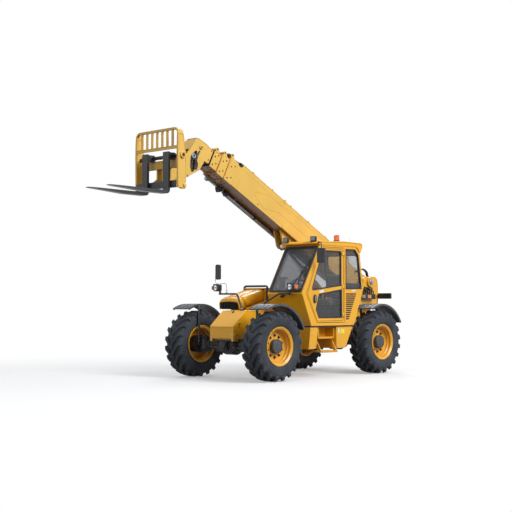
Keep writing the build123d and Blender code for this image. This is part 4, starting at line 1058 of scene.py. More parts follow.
def door_trim():
    """Handle, gasket line, hinge pins and the blank label on the door."""
    y = CAB_LEFT
    ring = [(-0.995 + 0.036 * cos(2 * pi * k / 28), 1.412 + 0.075 * sin(2 * pi * k / 28)) for k in range(28)]
    Kit().prism(ring, (y - 0.002, y + 0.033)).done("door_handle", "lamp", "door", 0.008)
    grip = Kit().prism([(-0.985 + 0.011 * cos(2 * pi * k / 20), 1.412 + 0.052 * sin(2 * pi * k / 20))
        for k in range(20)], (y + 0.03, y + 0.042))
    grip.done("door_grip", "tube", "door", 0.003)
    line = [Vector((a, y + 0.001, b)) for a, b in inset(DOOR, 0.026)]
    Kit().tube(line, 0.0035, 0.06, 6, True).done("door_gasket", "seal", "door")
    lip = [Vector((a, y - 0.001, b)) for a, b in inset(DOOR, 0.006)]
    Kit().tube(lip, 0.005, 0.07, 8, True).done("door_lip", "yellow", "door")
    pins = Kit()
    for z in (1.13, 1.64, 2.24):
        pins.lathe(rectangle(0.0, 0.008, -0.04, 0.04), (-1.852, y + 0.016, z), (0, 0, 1), 12)
        for shift in (0.03, 0.055):
            pins.bolt((-1.852 + shift, y + 0.016, z), (0, 1, 0), 0.006, 0.004)
    pins.done("door_hinge_pins", "steel", "door")
    label(((-1.135, 1.517), (-1.255, 1.533), (-1.255, 1.572), (-1.135, 1.556)), "door_label", "white", "door")
    inner = Kit().tube([(-1.16, 0.985, 1.515), (-1.2, 0.955, 1.52), (-1.68, 0.955, 1.585),
        (-1.72, 0.985, 1.59)], 0.012, 0.03, 12)
    inner.done("door_pull", "trim", "door")


def label(outline, name, finish, body="root", y=1.0602):
    """Blank sticker on a left face."""
    Kit().prism([tuple(p) for p in outline], (y - 0.001, y + 0.0018), "y", 0.008).done(name, finish, body)


def louvres():
    """Slots that taper down behind the door, each with a pressed hood."""
    slots, hoods = Kit(), Kit()
    for k in range(13):
        z = 1.507 - 0.038 * k
        back = -2.217 + (0.226 / 0.457) * (0.038 * k)
        slots.prism([(-1.904, z - 0.015), (-1.904, z + 0.009), (back, z + 0.009), (back, z - 0.015)],
            (CAB_LEFT - 0.002, CAB_LEFT + 0.0016), "y", 0.006)
        hoods.prism([(CAB_LEFT - 0.001, z + 0.009), (CAB_LEFT + 0.006, z + 0.0105),
            (CAB_LEFT - 0.001, z + 0.016)], (back + 0.004, -1.908), "x")
    slots.done("side_louvre_slots", "seal")
    hoods.done("side_louvre_hoods", "yellow")


def cab_trim():
    """Raised edges of the cab's left side, a dark strip as painted shade in the gap below it, fold lines and
    blank plates.
    """
    edge = Kit()
    edge.tube([(a, CAB_LEFT - 0.004, b) for a, b in inset(CAB_SIDE, 0.01)], 0.009, 0.06, 10, True)
    edge.tube([(a, 0.254, b) for a, b in inset(CAB_SIDE, 0.01)], 0.009, 0.06, 10, True)
    edge.rod((-1.878, CAB_LEFT - 0.001, 0.975), (-1.878, CAB_LEFT - 0.001, 2.355), 0.005)
    for y in (0.3, 1.01):
        edge.rod((-0.912, y, 0.945), (-0.657, y, 1.5), 0.007)
    edge.rod((-0.735, 0.3, 1.337), (-0.735, 1.01, 1.337), 0.005)
    edge.done("cab_edges", "yellow")
    # painted shade: a dark strip fills the shaded gap under the cab
    gap = Kit().prism([(-0.915, 0.908), (-0.905, 0.931), (-2.135, 0.931), (-2.128, 0.908)],
        (0.5, CAB_LEFT - 0.012))
    gap.done("cab_gap_shade_strip", "seal")
    label(rectangle(-2.08, -2.19, 1.552, 1.578), "vent_label", "white")
    bolts = Kit()
    for x, z in ((-1.93, 0.965), (-2.1, 0.965), (-0.98, 0.965)):
        bolts.bolt((x, CAB_LEFT, z), (0, 1, 0), 0.009, 0.006)
    bolts.done("cab_bolts", "steel")


def roof():
    """Ribbed brow, gutters and pressed panel of the roof."""
    ribs = Kit()
    for k in range(17):
        y = 0.27 + 0.0465 * k
        ribs.tube([(-1.09, y, 2.404), (-1.118, y + 0.022, 2.432), (-1.165, y + 0.05, 2.443),
            (-1.215, y + 0.06, 2.441)], 0.011, 0.03, 8)
    ribs.done("roof_brow_ribs", "yellow")
    shell = Kit()
    shell.tube(((-1.135, 1.068, 2.425), (-1.24, 1.07, 2.436), (-1.84, 1.07, 2.458), (-2.355, 1.07, 2.444),
        (-2.392, 1.07, 2.4), (-2.335, 1.07, 2.285)), 0.011, 0.05, 10)
    shell.tube(((-1.135, 0.242, 2.425), (-1.24, 0.24, 2.436), (-1.84, 0.24, 2.458), (-2.355, 0.24, 2.444),
        (-2.392, 0.24, 2.4), (-2.335, 0.24, 2.285)), 0.011, 0.05, 10)
    shell.rod((-2.396, 0.24, 2.402), (-2.396, 1.07, 2.402), 0.011, 10)
    for y in (0.42, 0.56, 0.7, 0.84):
        shell.prism([(-1.3, 2.44), (-1.84, 2.4605), (-2.3, 2.449), (-2.3, 2.4555), (-1.84, 2.4685),
            (-1.3, 2.449)], (y - 0.02, y + 0.02), "y", 0.004)
    shell.done("roof_pressings", "yellow", "root", 0.003)
    lining = Kit().block((-2.17, -1.2), (0.31, 1.0), (2.352, 2.376))
    for y in (0.5, 0.8):
        lining.block((-2.1, -1.3), (y - 0.004, y + 0.004), (2.347, 2.353))
    lining.done("roof_lining", "lining", "root", 0.01)


side_seals()
front_glass()
door_trim()
louvres()
cab_trim()
roof()


# ------------------------------------------------------------------ inside the cab
SEAT_VOXEL = 0.011
PUFF_FRAMES = 14
PUFF_LIMIT = 0.014
CHANNEL_Y, CHANNEL_DEPTH, CHANNEL_HALF = 0.145, 0.007, 0.012


def cushion(name, outline, span, puff, place):
    """Padded seat part: a rounded block, inflated as cloth, with a sewn channel after."""
    kit = Kit(MACHINE @ Matrix.Translation(place))
    kit.prism(outline, span, "y", 0.03)
    piece = kit.done(name, "fabric", "root", 0, 60)
    remesh = piece.modifiers.new("even", "REMESH")
    remesh.mode = "VOXEL"
    remesh.voxel_size = SEAT_VOXEL
    apply_modifiers(piece)
    rest = [vertex.co.copy() for vertex in piece.data.vertices]
    cloth_mod = piece.modifiers.new("puff", "CLOTH")
    cloth_mod.settings.use_pressure = True
    cloth_mod.settings.uniform_pressure_force = puff
    cloth_mod.settings.effector_weights.gravity = 0
    for number in range(1, PUFF_FRAMES + 1):
        scene.frame_set(number)
    apply_modifiers(piece)
    scene.frame_set(1)
    for vertex, start in zip(piece.data.vertices, rest):
        move = vertex.co - start
        if move.length > PUFF_LIMIT:
            vertex.co = start + move * (PUFF_LIMIT / move.length)
    for vertex in piece.data.vertices:
        side = abs(vertex.co.y - (place[1] + MIDDLE_Y)) - CHANNEL_Y
        groove = CHANNEL_DEPTH * max(0.0, 1 - abs(side) / CHANNEL_HALF)
        vertex.co -= vertex.normal * groove
    smoother = piece.modifiers.new("smooth", "SUBSURF")
    smoother.levels = 1
    smoother.render_levels = 1
    piece.data.shade_smooth()
    return piece


def apply_modifiers(piece):
    """Bake a piece's modifiers into its mesh."""
    graph = bpy.context.evaluated_depsgraph_get()
    mesh = bpy.data.meshes.new_from_object(piece.evaluated_get(graph), depsgraph=graph)
    old = piece.data
    piece.modifiers.clear()
    piece.data = mesh
    bpy.data.meshes.remove(old)


def driver_seat():
    """Two cushions on a sprung frame with arm rests, and the belt."""
    base = cushion("seat_cushion", [(-2.06, 1.31), (-1.62, 1.33), (-1.608, 1.4), (-2.05, 1.4)],
        (-0.225, 0.225), 4.0, (0, 0.66, 0))
    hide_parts("operator_seat")
    cushion("seat_back", [(-2.105, 1.43), (-2.01, 1.43), (-2.075, 1.84), (-2.1, 1.885), (-2.15, 1.885),
        (-2.17, 1.84)], (-0.205, 0.205), 4.0, (0, 0.66, 0))
    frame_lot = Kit()
    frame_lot.block((-2.07, -1.64), (0.445, 0.875), (1.285, 1.315))
    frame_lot.block((-2.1, -1.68), (0.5, 0.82), (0.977, 1.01))
    for k in range(8):
        z = 1.015 + k * 0.034
        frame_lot.block((-2.03 - 0.01 * (k % 2), -1.73 + 0.01 * (k % 2)), (0.53 - 0.01 * (k % 2),
            0.79 + 0.01 * (k % 2)), (z, z + 0.032))
    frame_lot.prism([(-2.17, 1.3), (-2.1, 1.3), (-2.12, 1.44), (-2.19, 1.8), (-2.2, 1.8), (-2.18, 1.44)],
        (0.56, 0.76))
    for y in (0.415, 0.905):
        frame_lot.tube([(-2.08, y, 1.34), (-2.09, y, 1.56), (-1.76, y, 1.575)], 0.019, 0.06, 10)
    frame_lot.done("seat_frame", "trim", "root", 0.006)
    belt = Kit().tube([(-2.0, 0.9, 1.36), (-1.96, 0.915, 1.44), (-2.02, 0.93, 1.9)], 0.012, 0.06, 8)
    belt.done("seat_belt", "seal")


def controls():
    """Dash, column, steering wheel, pedals, right-hand lever console and floor mat."""
    dash = Kit()
    dash.prism([(-0.95, 0.98), (-0.742, 1.45), (-0.8, 1.552), (-0.93, 1.556), (-0.99, 1.5), (-1.0, 1.4),
        (-0.985, 0.98)], (0.335, 0.975), "y", 0.025)
    dash.prism([(-0.86, 1.545), (-0.97, 1.5), (-1.0, 1.53), (-0.9, 1.6)], (0.52, 0.82), "y", 0.02)
    dash.lathe([(0.05, 0), (0.042, 0.2), (0.036, 0.25), (0.0, 0.25)], (-0.955, 0.66, 1.43), (-0.6, 0, 0.8),
        20)
    dash.done("dashboard", "trim", "root", 0.006, 30, ["steering_console"])
    hub_place = Vector((-1.1225, 0.66, 1.654))
    tilt = Matrix.Translation(hub_place) @ Matrix.Rotation(radians(-36.9), 4, "Y")
    rim = Kit(MACHINE @ tilt)
    rim.tube([(0.182 * cos(2 * pi * k / 48), 0.182 * sin(2 * pi * k / 48), 0) for k in range(48)], 0.0135, 0,
        12, True)
    for turn in (90, 210, 330):
        way = Vector((cos(radians(turn)), sin(radians(turn)), 0))
        rim.tube([way * 0.03 + Vector((0, 0, -0.02)), way * 0.1 + Vector((0, 0, -0.016)), way * 0.178],
            (0.016, 0.011), 0.04, 8)
    rim.lathe([(0.0, 0.014), (0.036, 0.012), (0.05, 0.0), (0.05, -0.02), (0.03, -0.035), (0.0, -0.035)],
        (0, 0, -0.006), (0, 0, 1), 28)
    rim.lathe([(0.0, 0.0), (0.017, 0.004), (0.022, 0.02), (0.02, 0.038), (0.0, 0.046)], (-0.16, 0.08, 0.012),
        (0, 0, 1), 16)
    rim.done("steering_wheel", "trim", "root", 0.001)
    dials = Kit(MACHINE @ Matrix.Translation((-0.955, 0.67, 1.545)) @ Matrix.Rotation(radians(-52), 4, "Y"))
    for y in (-0.09, 0.0, 0.09):
        dials.lathe([(0.034, 0.0), (0.034, 0.008), (0.03, 0.008), (0.03, 0.004), (0.0, 0.004)], (0, y, 0),
            (0, 0, 1), 24)
    dials.done("dash_dials", "clear")
    pod = Kit()
    pod.prism([(-1.62, 1.36), (-1.58, 1.5), (-1.66, 1.56), (-2.0, 1.56), (-2.02, 1.36)], (0.312, 0.405), "y",
        0.03)
    pod.prism([(-1.72, 0.985), (-1.72, 1.38), (-1.96, 1.38), (-1.96, 0.985)], (0.318, 0.395), "y", 0.02)
    pod.done("lever_console", "trim", "root", 0.006)
    stick = Kit().lathe([(0.03, 0), (0.024, 0.03), (0.01, 0.05), (0.01, 0.1), (0.021, 0.115), (0.025, 0.16),
        (0.022, 0.2), (0.0, 0.208)], (-1.67, 0.36, 1.552), (0.15, 0, 1), 20)
    for k in range(4):
        stick.lathe([(0.006, 0), (0.006, 0.04), (0.012, 0.044), (0.012, 0.06), (0.0, 0.064)],
            (-1.76 - 0.05 * k, 0.36, 1.558), (0, 0, 1), 12)
    stick.done("levers", "seal")
    mat = Kit().block((-2.08, -1.0), (0.32, 1.0), (0.976, 0.984))
    for k in range(16):
        x = -1.04 - 0.06 * k
        mat.block((x - 0.012, x), (0.36, 0.96), (0.984, 0.989))
    mat.done("floor_mat", "seal", "root", 0.002)
    pedals = Kit()
    for y in (0.5, 0.82):
        pedals.block((-1.07, -1.055), (y - 0.04, y + 0.04), (1.06, 1.16), ("Y", -28))
        pedals.rod((-1.05, y, 1.1), (-0.99, y, 1.02), 0.009)
    pedals.done("pedals", "black", "root", 0.003)


driver_seat()
controls()


# ------------------------------------------------------------------ under the cab
def steps_and_tanks():
    """Punched treads, fasteners, fold lines and blank plates of the boxes."""
    studs = Kit()
    for z in (0.48, 0.725):
        for row in range(4):
            for k in range(9):
                spot = (-1.225 - 0.044 * k, (0.905 if z < 0.6 else 0.825) + 0.05 * row, z)
                studs.lathe([(0.014, 0), (0.011, 0.006), (0.006, 0.006), (0.005, 0.001), (0.0, 0.001)], spot,
                    (0, 0, 1), 10)
    studs.done("tread_studs", "yellow")
    bolts = Kit()
    for x, way in ((-1.17, 1), (-1.63, -1)):
        for y, z in ((0.88, 0.74), (0.96, 0.86), (0.84, 0.86), (1.04, 0.467)):
            bolts.bolt((x, y, z), (way, 0, 0), 0.009, 0.007)
    for x, z in ((-0.93, 0.86), (-1.67, 0.86), (-2.05, 0.86), (-1.92, 0.56), (-1.67, 0.56), (-0.9, 0.57),
            (-1.05, 0.57)):
        bolts.bolt((x, 1.0405, z), (0, 1, 0), 0.009, 0.006)
    bolts.done("step_bolts", "steel")
    seams = Kit()
    front_box = [(-0.905, 0.903), (-1.12, 0.903), (-1.06, 0.532), (-0.852, 0.522)]
    rear_box = [(-1.642, 0.903), (-2.118, 0.903), (-1.91, 0.522), (-1.642, 0.522)]
    for outline in (front_box, rear_box):
        seams.tube([(a, 1.0385, b) for a, b in inset(outline, 0.004)], 0.006, 0.02, 8, True)
    seams.rod((-0.9, 1.0405, 0.77), (-1.09, 1.0405, 0.77), 0.004)
    for x in (-1.171, -1.629):
        for low, high in (((1.012, 0.458), (0.852, 0.722)), ((1.078, 0.458), (0.918, 0.722))):
            seams.rod((x, low[0], low[1]), (x, high[0], high[1]), 0.005)
    for z, y in ((0.452, 1.08), (0.698, 1.0)):
        seams.rod((-1.19, y, z + 0.006), (-1.61, y, z + 0.006), 0.008)
        seams.rod((-1.19, y, z + 0.024), (-1.61, y, z + 0.024), 0.006)
    seams.done("box_seams", "yellow")
    label([(-1.69, 0.79), (-1.69, 0.87), (-1.735, 0.87), (-1.735, 0.79)], "tank_label_grey", "white", "root",
        1.0405)
    label([(-1.77, 0.785), (-1.77, 0.865), (-1.88, 0.865), (-1.88, 0.785)], "tank_label_yellow", "lemon",
        "root", 1.0405)
    straps = Kit()
    for x in (-1.72, -1.84):
        straps.prism(rectangle(x - 0.02, x + 0.02, 0.905, 0.518), (0.436, 0.441), "y")
        straps.block((x - 0.02, x + 0.02), (0.44, 1.04), (0.513, 0.52))
    straps.done("tank_straps", "black", "root", 0.001)


steps_and_tanks()


# ------------------------------------------------------------------ lamps, mirrors, beacon
def rounded_box(kit, x, y, z, corner, axis="x"):
    """Block whose outline across an axis has round corners."""
    if axis == "x":
        return kit.prism(rectangle(y[0], y[1], z[0], z[1]), x, "x", corner)
    return kit.prism(rectangle(x[0], x[1], z[0], z[1]), y, "y", corner)


def headlight(side, hand):
    """Housing with visor, reflector lens and a turn signal on its outer side."""
    body = Kit()
    span = spread(side, 0.842, 0.98)
    rounded_box(body, (-0.595, -0.5), span, (1.553, 1.688), 0.035)
    body.prism([(side * 0.975, 1.578), (side * 0.995, 1.59), (side * 0.995, 1.652), (side * 0.975, 1.664)],
        (-0.585, -0.51), "x", 0.008)
    body.lathe([(0.0, -0.03), (0.022, -0.03), (0.022, 0.02), (0.012, 0.03), (0.012, 0.06)],
        (-0.55, side * 0.845, 1.535), (0, 0, 1), 20)
    body.rod((-0.55, side * 0.845, 1.52), (-0.55, side * 0.845, 1.6), 0.012, 10)
    body.prism([(span[0] + 0.004, 1.664), (span[1] - 0.004, 1.664), (span[1] - 0.012, 1.691),
        (span[0] + 0.012, 1.691)], (-0.51, -0.488), "x", 0.008)
    body.done(f"headlight_housing_{hand}", "lamp", "root", 0.006, 30,
              ["headlights"] if side > 0 else [])
    bezel = Kit().frame(rectangle(span[0] + 0.008, span[1] - 0.008, 1.561, 1.68),
        rectangle(span[0] + 0.02, span[1] - 0.02, 1.572, 1.668), (-0.502, -0.4905), (0.03, 0.024))
    bezel.reorder("yxz")
    bezel.done(f"headlight_bezel_{hand}", "lamp", "root", 0.002)
    glass = Kit()
    rows = []
    for a in range(11):
        row = []
        for b in range(11):
            u, v = a / 5 - 1, b / 5 - 1
            bulge = 0.012 * (1 - u * u) * (1 - v * v)
            row.append(Vector((-0.499 + bulge, sum(span) / 2 + 0.055 * u, 1.62 + 0.052 * v)))
        rows.append(row)
    glass.sheet(rows).done(f"headlight_lens_{hand}", "clear", "root", 0, 60, (), 0.003)
    bowls = Kit()
    for z in (1.645, 1.597):
        bowls.lathe([(0.0, -0.01), (0.012, -0.008), (0.02, 0.0), (0.023, 0.012), (0.02, 0.012)],
            (-0.497, side * 0.911, z), (1, 0, 0), 24)
    bowls.done(f"headlight_reflectors_{hand}", "mirror")
    signal = Kit()
    signal.prism(rectangle(-0.585, -0.505, 1.582, 1.66), spread(side, 0.993, 1.033), "y", 0.02)
    signal.done(f"turn_signal_{hand}", "amber", "root", 0.012)


def work_lamp(y, hand):
    """Square lamp on a U bracket above the roof's front edge."""
    body = Kit()
    rounded_box(body, (-1.145, -1.09), (y - 0.056, y + 0.056), (2.447, 2.535), 0.014)
    for k in range(4):
        rounded_box(body, (-1.165 + 0.004, -1.145), (y - 0.045 + 0.025 * k, y - 0.035 + 0.025 * k),
            (2.46, 2.522), 0.003)
    body.done(f"work_light_housing_{hand}", "lamp", "root", 0.004, 30, ["work_lights"] if hand == "left"
        else [])
    bracket = Kit()
    for side in (-1, 1):
        bracket.block((-1.13, -1.105), (y + side * 0.06 - 0.002, y + side * 0.06 + 0.002), (2.43, 2.5))
        bracket.bolt((-1.1175, y + side * 0.061, 2.49), (0, side, 0), 0.009, 0.007)
    bracket.block((-1.13, -1.105), (y - 0.062, y + 0.062), (2.43, 2.436))
    bracket.done(f"work_light_bracket_{hand}", "black", "root", 0.001)
    glass = Kit()
    rounded_box(glass, (-1.0915, -1.085), (y - 0.047, y + 0.047), (2.456, 2.526), 0.01)
    glass.done(f"work_light_lens_{hand}", "clear", "root", 0.002)


def beacon():
    """Ribbed amber dome on its base, and the antenna behind it."""
    place = (-1.84, 0.9, 2.462)
    Kit().lathe([(0.0, 0), (0.064, 0.0), (0.064, 0.012), (0.055, 0.02), (0.055, 0.03), (0.0, 0.03)], place,
        (0, 0, 1), 36).done("beacon_base", "lamp", "root", 0.002)
    dome = [(0.0, 0.028), (0.053, 0.028), (0.053, 0.036)]
    for k in range(5):
        dome += [(0.0505, 0.038 + 0.017 * k), (0.0515, 0.046 + 0.017 * k), (0.0505, 0.052 + 0.017 * k)]
    dome += [(0.047, 0.126), (0.036, 0.134), (0.018, 0.1375), (0.0, 0.138)]
    Kit().lathe(dome, place, (0, 0, 1), 40).done("beacon_dome", "amber", "root", 0, 35, ["beacon"])
    stem = Kit().lathe([(0.0, 0), (0.014, 0), (0.014, 0.01), (0.006, 0.014), (0.003, 0.02), (0.0025, 0.1),
        (0.0, 0.1)], (-2.24, 0.9, 2.452), (0, 0, 1), 14)
    stem.done("antenna", "steel")


def mirrors():
    """Rounded housings, silvered faces, arms and clamps."""
    shells, faces, arms = Kit(), Kit(), Kit()
    rounded_box(shells, (-0.985, -0.948), (1.152, 1.328), (2.042, 2.308), 0.035)
    shells.lathe([(0.016, -0.002), (0.016, 0.012), (0.01, 0.018), (0.0, 0.018)], (-0.95, 1.235, 2.2),
        (1, 0, 0), 16)
    shells.lathe([(0.018, -0.012), (0.018, 0.012)], (-0.505, -0.85, 1.86), (0, 1, 0), 16)
    rounded_box(shells, (-0.522, -0.488), (-0.913, -0.792), (1.772, 2.053), 0.03)
    shells.done("mirror_housings", "lamp", "root", 0.011, 30, ["mirrors"])
    rounded_box(faces, (-0.9875, -0.984), (1.164, 1.316), (2.054, 2.296), 0.028)
    rounded_box(faces, (-0.5245, -0.521), (-0.905, -0.8), (1.782, 2.043), 0.024)
    faces.done("mirror_glasses", "mirror", "root", 0.0008)
    arms.tube([(-1.094, 1.074, 2.412), (-0.965, 1.24, 2.412), (-0.965, 1.24, 2.29)], 0.0095, 0.045, 12)
    arms.lathe([(0.02, -0.012), (0.02, 0.014), (0.014, 0.02)], (-1.08, 1.09, 2.412), (0.62, 0.79, 0), 14)
    arms.done("mirror_arm_left", "black", "root")
    stalk = Kit().tube(((-0.505, -0.92, 1.87), (-0.505, -0.925, 1.72), (-0.51, -0.86, 1.69),
        (-0.516, -0.66, 1.7), (-0.518, -0.645, 1.62), (-0.518, -0.645, 1.522)), 0.0065, 0.03, 10)
    stalk.rod((-0.505, -0.925, 1.87), (-0.505, -0.88, 1.87), 0.008, 10)
    for z in (1.53, 1.565):
        stalk.lathe([(0.022, -0.005), (0.022, 0.005), (0.008, 0.01)], (-0.518, -0.645, z), (0, 0, 1), 14)
    stalk.done("mirror_stalk_right", "steel")
    feet = Kit()
    for x, y in ((-0.47, -0.208), (-0.45, 0.208)):
        feet.lathe([(0.017, 0), (0.026, 0.0), (0.026, 0.012), (0.017, 0.02)], (x, y, 1.222), (0, 0, 1), 20,
            True)
        for dx in (-0.02, 0.02):
            feet.bolt((x + dx, y + (0.016 if y > 0 else -0.016), 1.2245), (0, 0, 1), 0.006, 0.006)
    feet.done("arm_feet", "steel")


def tail_lamp(side, hand):
    """Flat lamp cluster held off the tower's side."""
    span = spread(side, 0.447, 0.768)
    body = Kit()
    rounded_box(body, (-3.772, -3.742), span, (1.421, 1.534), 0.02)
    body.rod((-3.76, side * 0.42, 1.475), (-3.76, side * 0.46, 1.475), 0.02, 12)
    body.done(f"tail_lamp_{hand}", "lamp", "root", 0.005, 30, ["tail_lights"] if side > 0 else [])
    for start, stop, finish in ((0.46, 0.56, "red"), (0.566, 0.66, "clear"), (0.666, 0.756, "amber")):
        piece = Kit()
        rounded_box(piece, (-3.778, -3.771), spread(side, start, stop), (1.432, 1.523), 0.008)
        piece.done(f"tail_lens_{finish}_{hand}", finish, "root", 0.002)
    rim = Kit()
    rounded_box(rim, (-3.743, -3.7395), (span[0] + 0.01, span[1] - 0.01), (1.431, 1.524), 0.014)
    rim.done(f"tail_marker_{hand}", "seal", "root", 0.001)


for side, hand in ((1, "left"), (-1, "right")):
    headlight(side, hand)
    tail_lamp(side, hand)
work_lamp(0.94, "left")
work_lamp(0.29, "right")
beacon()
mirrors()


# ------------------------------------------------------------------ boom
COLLARS = (
    # (piece, body, start, end, half width, down, up, inner half width, inner down, inner up)
    ("base", "boom", 4.07, 4.265, 0.184, 0.24, 0.206, 0.148, 0.198, 0.14),
    ("second", "section_2", 4.29, 4.455, 0.168, 0.232, 0.157, 0.127, 0.175, 0.09),
    ("third", "section_3", 4.48, 4.642, 0.15, 0.205, 0.104, 0.107, 0.153, 0.066),
)


def collar(name, body, start, end, half, down, up, half_in, down_in, up_in):
    """Wear-pad bolts, weld bead, rubber wiper and the pulley on top of one collar."""
    bolts = Kit(BOOM)
    long = end - start
    rows = (start + long * 0.3, start + long * 0.72)
    for side in (1, -1):
        for u in rows:
            for w in (up * 0.35, 0.08 - down):
                bolts.bolt((u, side * half, w + (0.035 if u == rows[0] else -0.02)), (0, side, 0), 0.0105,
                    0.008)
    for u in rows:
        for y in (-0.07, 0.07):
            bolts.bolt((u, y, -down), (0, 0, -1), 0.011, 0.009)
            bolts.bolt((u, -0.04 - abs(y), up), (0, 0, 1), 0.011, 0.009)
    bolts.done(f"collar_bolts_{name}", "cast", body)
    wiper = Kit(BOOM)
    outer = rectangle(-half + 0.006, half - 0.006, -down + 0.006, up - 0.006)
    inner = rectangle(-half_in - 0.004, half_in + 0.004, -down_in - 0.004, up_in + 0.004)
    wiper.frame(outer, inner, (end - 0.004, end + 0.008), (0.006, 0.006))
    wiper.reorder("yxz")
    wiper.done(f"collar_wiper_{name}", "seal" if name == "third" else "rim", body, 0.002)
    bead = Kit(BOOM)
    corners = ((-half, -down), (half, -down), (half, up), (-half, up))
    for u, radius in ((start, 0.005), (end, 0.004)):
        bead.tube([(u, y, w) for y, w in corners], radius, 0.01, 8, True)
    bead.done(f"collar_bead_{name}", "boom_sheen_shade_paint", body)


def top_pins():
    """Hose rollers on the collars' top edge, each between two ears."""
    rollers = (
        # (piece, body, along, up, collar top, radius)
        ("base", "boom", 4.243, 0.27, 0.206, 0.03),
        ("second", "section_2", 4.422, 0.205, 0.157, 0.026),
        ("third", "section_3", 4.608, 0.158, 0.104, 0.026),
    )
    for name, body, u, w, top, radius in rollers:
        ears = Kit(BOOM)
        for y in (0.02, 0.148):
            ears.prism([(u - 0.085, top - 0.002), (u + 0.016, top - 0.002), (u + 0.03, w),
                (u + 0.01, w + 0.03), (u - 0.03, w + 0.025)], (y - 0.006, y + 0.006), "y", 0.016)
        ears.rod((u - 0.045, 0.02, top + 0.02), (u - 0.045, 0.148, top + 0.02), 0.012, 12)
        ears.done(f"roller_ears_{name}", "boom_sheen_shade_paint", body, 0.002)
        bar = Kit(BOOM)
        bar.lathe([(0.0, 0.012), (radius * 0.7, 0.012), (radius, 0.02), (radius * 0.8, 0.064),
            (radius, 0.108), (radius * 0.7, 0.118), (0.0, 0.118)], (u, 0.018, w), (0, 1, 0), 24)
        bar.done(f"hose_roller_{name}", "boom_sheen_shade_paint", body)
        Kit(BOOM).bolt((u, 0.154, w), (0, 1, 0), 0.012, 0.01).done(f"roller_bolt_{name}", "cast", body)
    lump = Kit(BOOM).lathe([(0.0, 0), (0.026, 0.0), (0.026, 0.1), (0.0, 0.1)], (4.3, 0.034, 0.245),
        (0, 1, 0), 20)
    lump.block((4.255, 4.3), (0.05, 0.12), (0.212, 0.24))
    lump.done("front_roller", "seal", "boom", 0.003)


def tray():
    """Pipes, hose, clamps and guide on the tray along the top, and the coupling at its front."""
    pipes = Kit(BOOM)
    for y, w in ((0.098, 0.268), (0.15, 0.268)):
        pipes.rod((0.5, y, w), (3.93, y, w), 0.0115, 12)
    pipes.block((0.52, 3.9), (0.079, 0.086), (0.183, 0.262))
    pipes.done("tray_pipes", "boom_sheen_shade_paint", "boom", 0.001)
    hose = Kit(BOOM).tube([(0.46, 0.125, 0.268), (2.0, 0.124, 0.272), (3.95, 0.126, 0.268)], 0.012, 0.3, 12)
    hose.done("tray_hose", "hose", "boom")
    clamps = Kit(BOOM)
    for k in range(6):
        u = 0.75 + 0.58 * k
        clamps.block((u - 0.018, u + 0.018), (0.083, 0.167), (0.255, 0.266))
        clamps.block((u - 0.018, u + 0.018), (0.083, 0.167), (0.279, 0.285))
        for y in (0.112, 0.138):
            clamps.bolt((u, y, 0.285), (0, 0, 1), 0.006, 0.005)
    clamps.done("pipe_clamps", "boom_sheen_shade_paint", "boom", 0.002)
    guide = Kit(BOOM).lathe([(0.0, 0.0), (0.036, 0.0), (0.036, 0.012), (0.022, 0.02), (0.022, 0.076),
        (0.036, 0.084), (0.036, 0.096), (0.0, 0.096)], (2.682, 0.077, 0.264), (0, 1, 0), 28)
    guide.done("hose_guide", "boom_sheen_shade_paint", "boom", 0.001)
    fittings = Kit(BOOM)
    for y in (0.112, 0.158):
        fittings.lathe([(0.0, -0.05), (0.018, -0.05), (0.018, -0.02), (0.026, -0.018), (0.026, 0.012),
            (0.019, 0.014), (0.019, 0.04), (0.0, 0.04)], (3.985, y, 0.24), (1, 0, 0), 6)
    fittings.block((3.955, 4.0), (0.09, 0.182), (0.2, 0.222))
    fittings.done("hose_couplings", "cast", "boom", 0.002)
    links = Kit(BOOM)
    for y in (0.112, 0.158):
        links.tube([(4.02, y, 0.24), (4.08, y, 0.226), (4.2, y - 0.02, 0.221), (4.31, y - 0.03, 0.221)],
            0.0105, 0.04, 10)
    links.done("coupling_hoses", "hose", "boom")


def boom_sides():
    """Weld seam, patch plates, generic outline and service holes on the base section."""
    line = Kit(BOOM)
    a, b, c, d = (3.459, 0.002), (3.126, 0.136), (2.417, 0.129), (3.473, -0.044)
    e, f, g = (3.147, -0.158), (2.749, -0.013), (1.73, -0.017)
    for side in (1, -1):
        for route in ((a, b, c), (a, d, e, f, g)):
            line.tube([(u, side * 0.1705, w) for u, w in route], 0.0028, 0.004, 6)
    line.done("boom_outline", "rim", "boom")
    seam = Kit(BOOM)
    for side in (1, -1):
        for w in (0.183, -0.222):
            seam.rod((-0.18, side * 0.166, w), (4.07, side * 0.166, w), 0.0065)
        seam.rod((3.91, side * 0.1705, 0.18), (3.91, side * 0.1705, -0.22), 0.0025, 6)
        plate = [(1.76, -0.215), (2.62, -0.215), (2.5, -0.12), (1.9, -0.12)]
        seam.prism(plate, spread(side, 0.168, 0.176), "y", 0.03)
        seam.prism([(-0.15, -0.2), (0.5, -0.2), (0.36, 0.165), (-0.15, 0.165)], spread(side, 0.168, 0.177),
            "y", 0.06)
        seam.lathe([(0.09, 0), (0.105, 0), (0.1, 0.01)], (0, side * 0.34, 0), (0, side, 0), 36, True)
    seam.done("boom_seams", "boom_sheen_shade_paint", "boom", 0.002)
    holes = Kit(BOOM)
    for u in (0.9, 1.35, 2.95, 3.55):
        holes.lathe(rectangle(0.0, 0.016, -0.001, 0.004), (u, 0, -0.222), (0, 0, -1), 20)
    for u in (1.5, 3.3):
        holes.lathe(rectangle(0.0, 0.012, -0.001, 0.003), (u, 0.17, -0.17), (0, 1, 0), 16)
    holes.done("boom_plugs", "seal", "boom")
    pads = Kit(BOOM)
    for side in (1, -1):
        pads.lathe([(0.016, 0), (0.03, 0.0), (0.03, 0.012), (0.016, 0.012)], (2.19, side * 0.108, -0.39),
            (0, side, 0), 28, True)
        pads.bolt((2.19, side * 0.108, -0.39), (0, side, 0), 0.026, 0.02)
    pads.done("rod_eye_pins", "steel", "boom", 0.001)


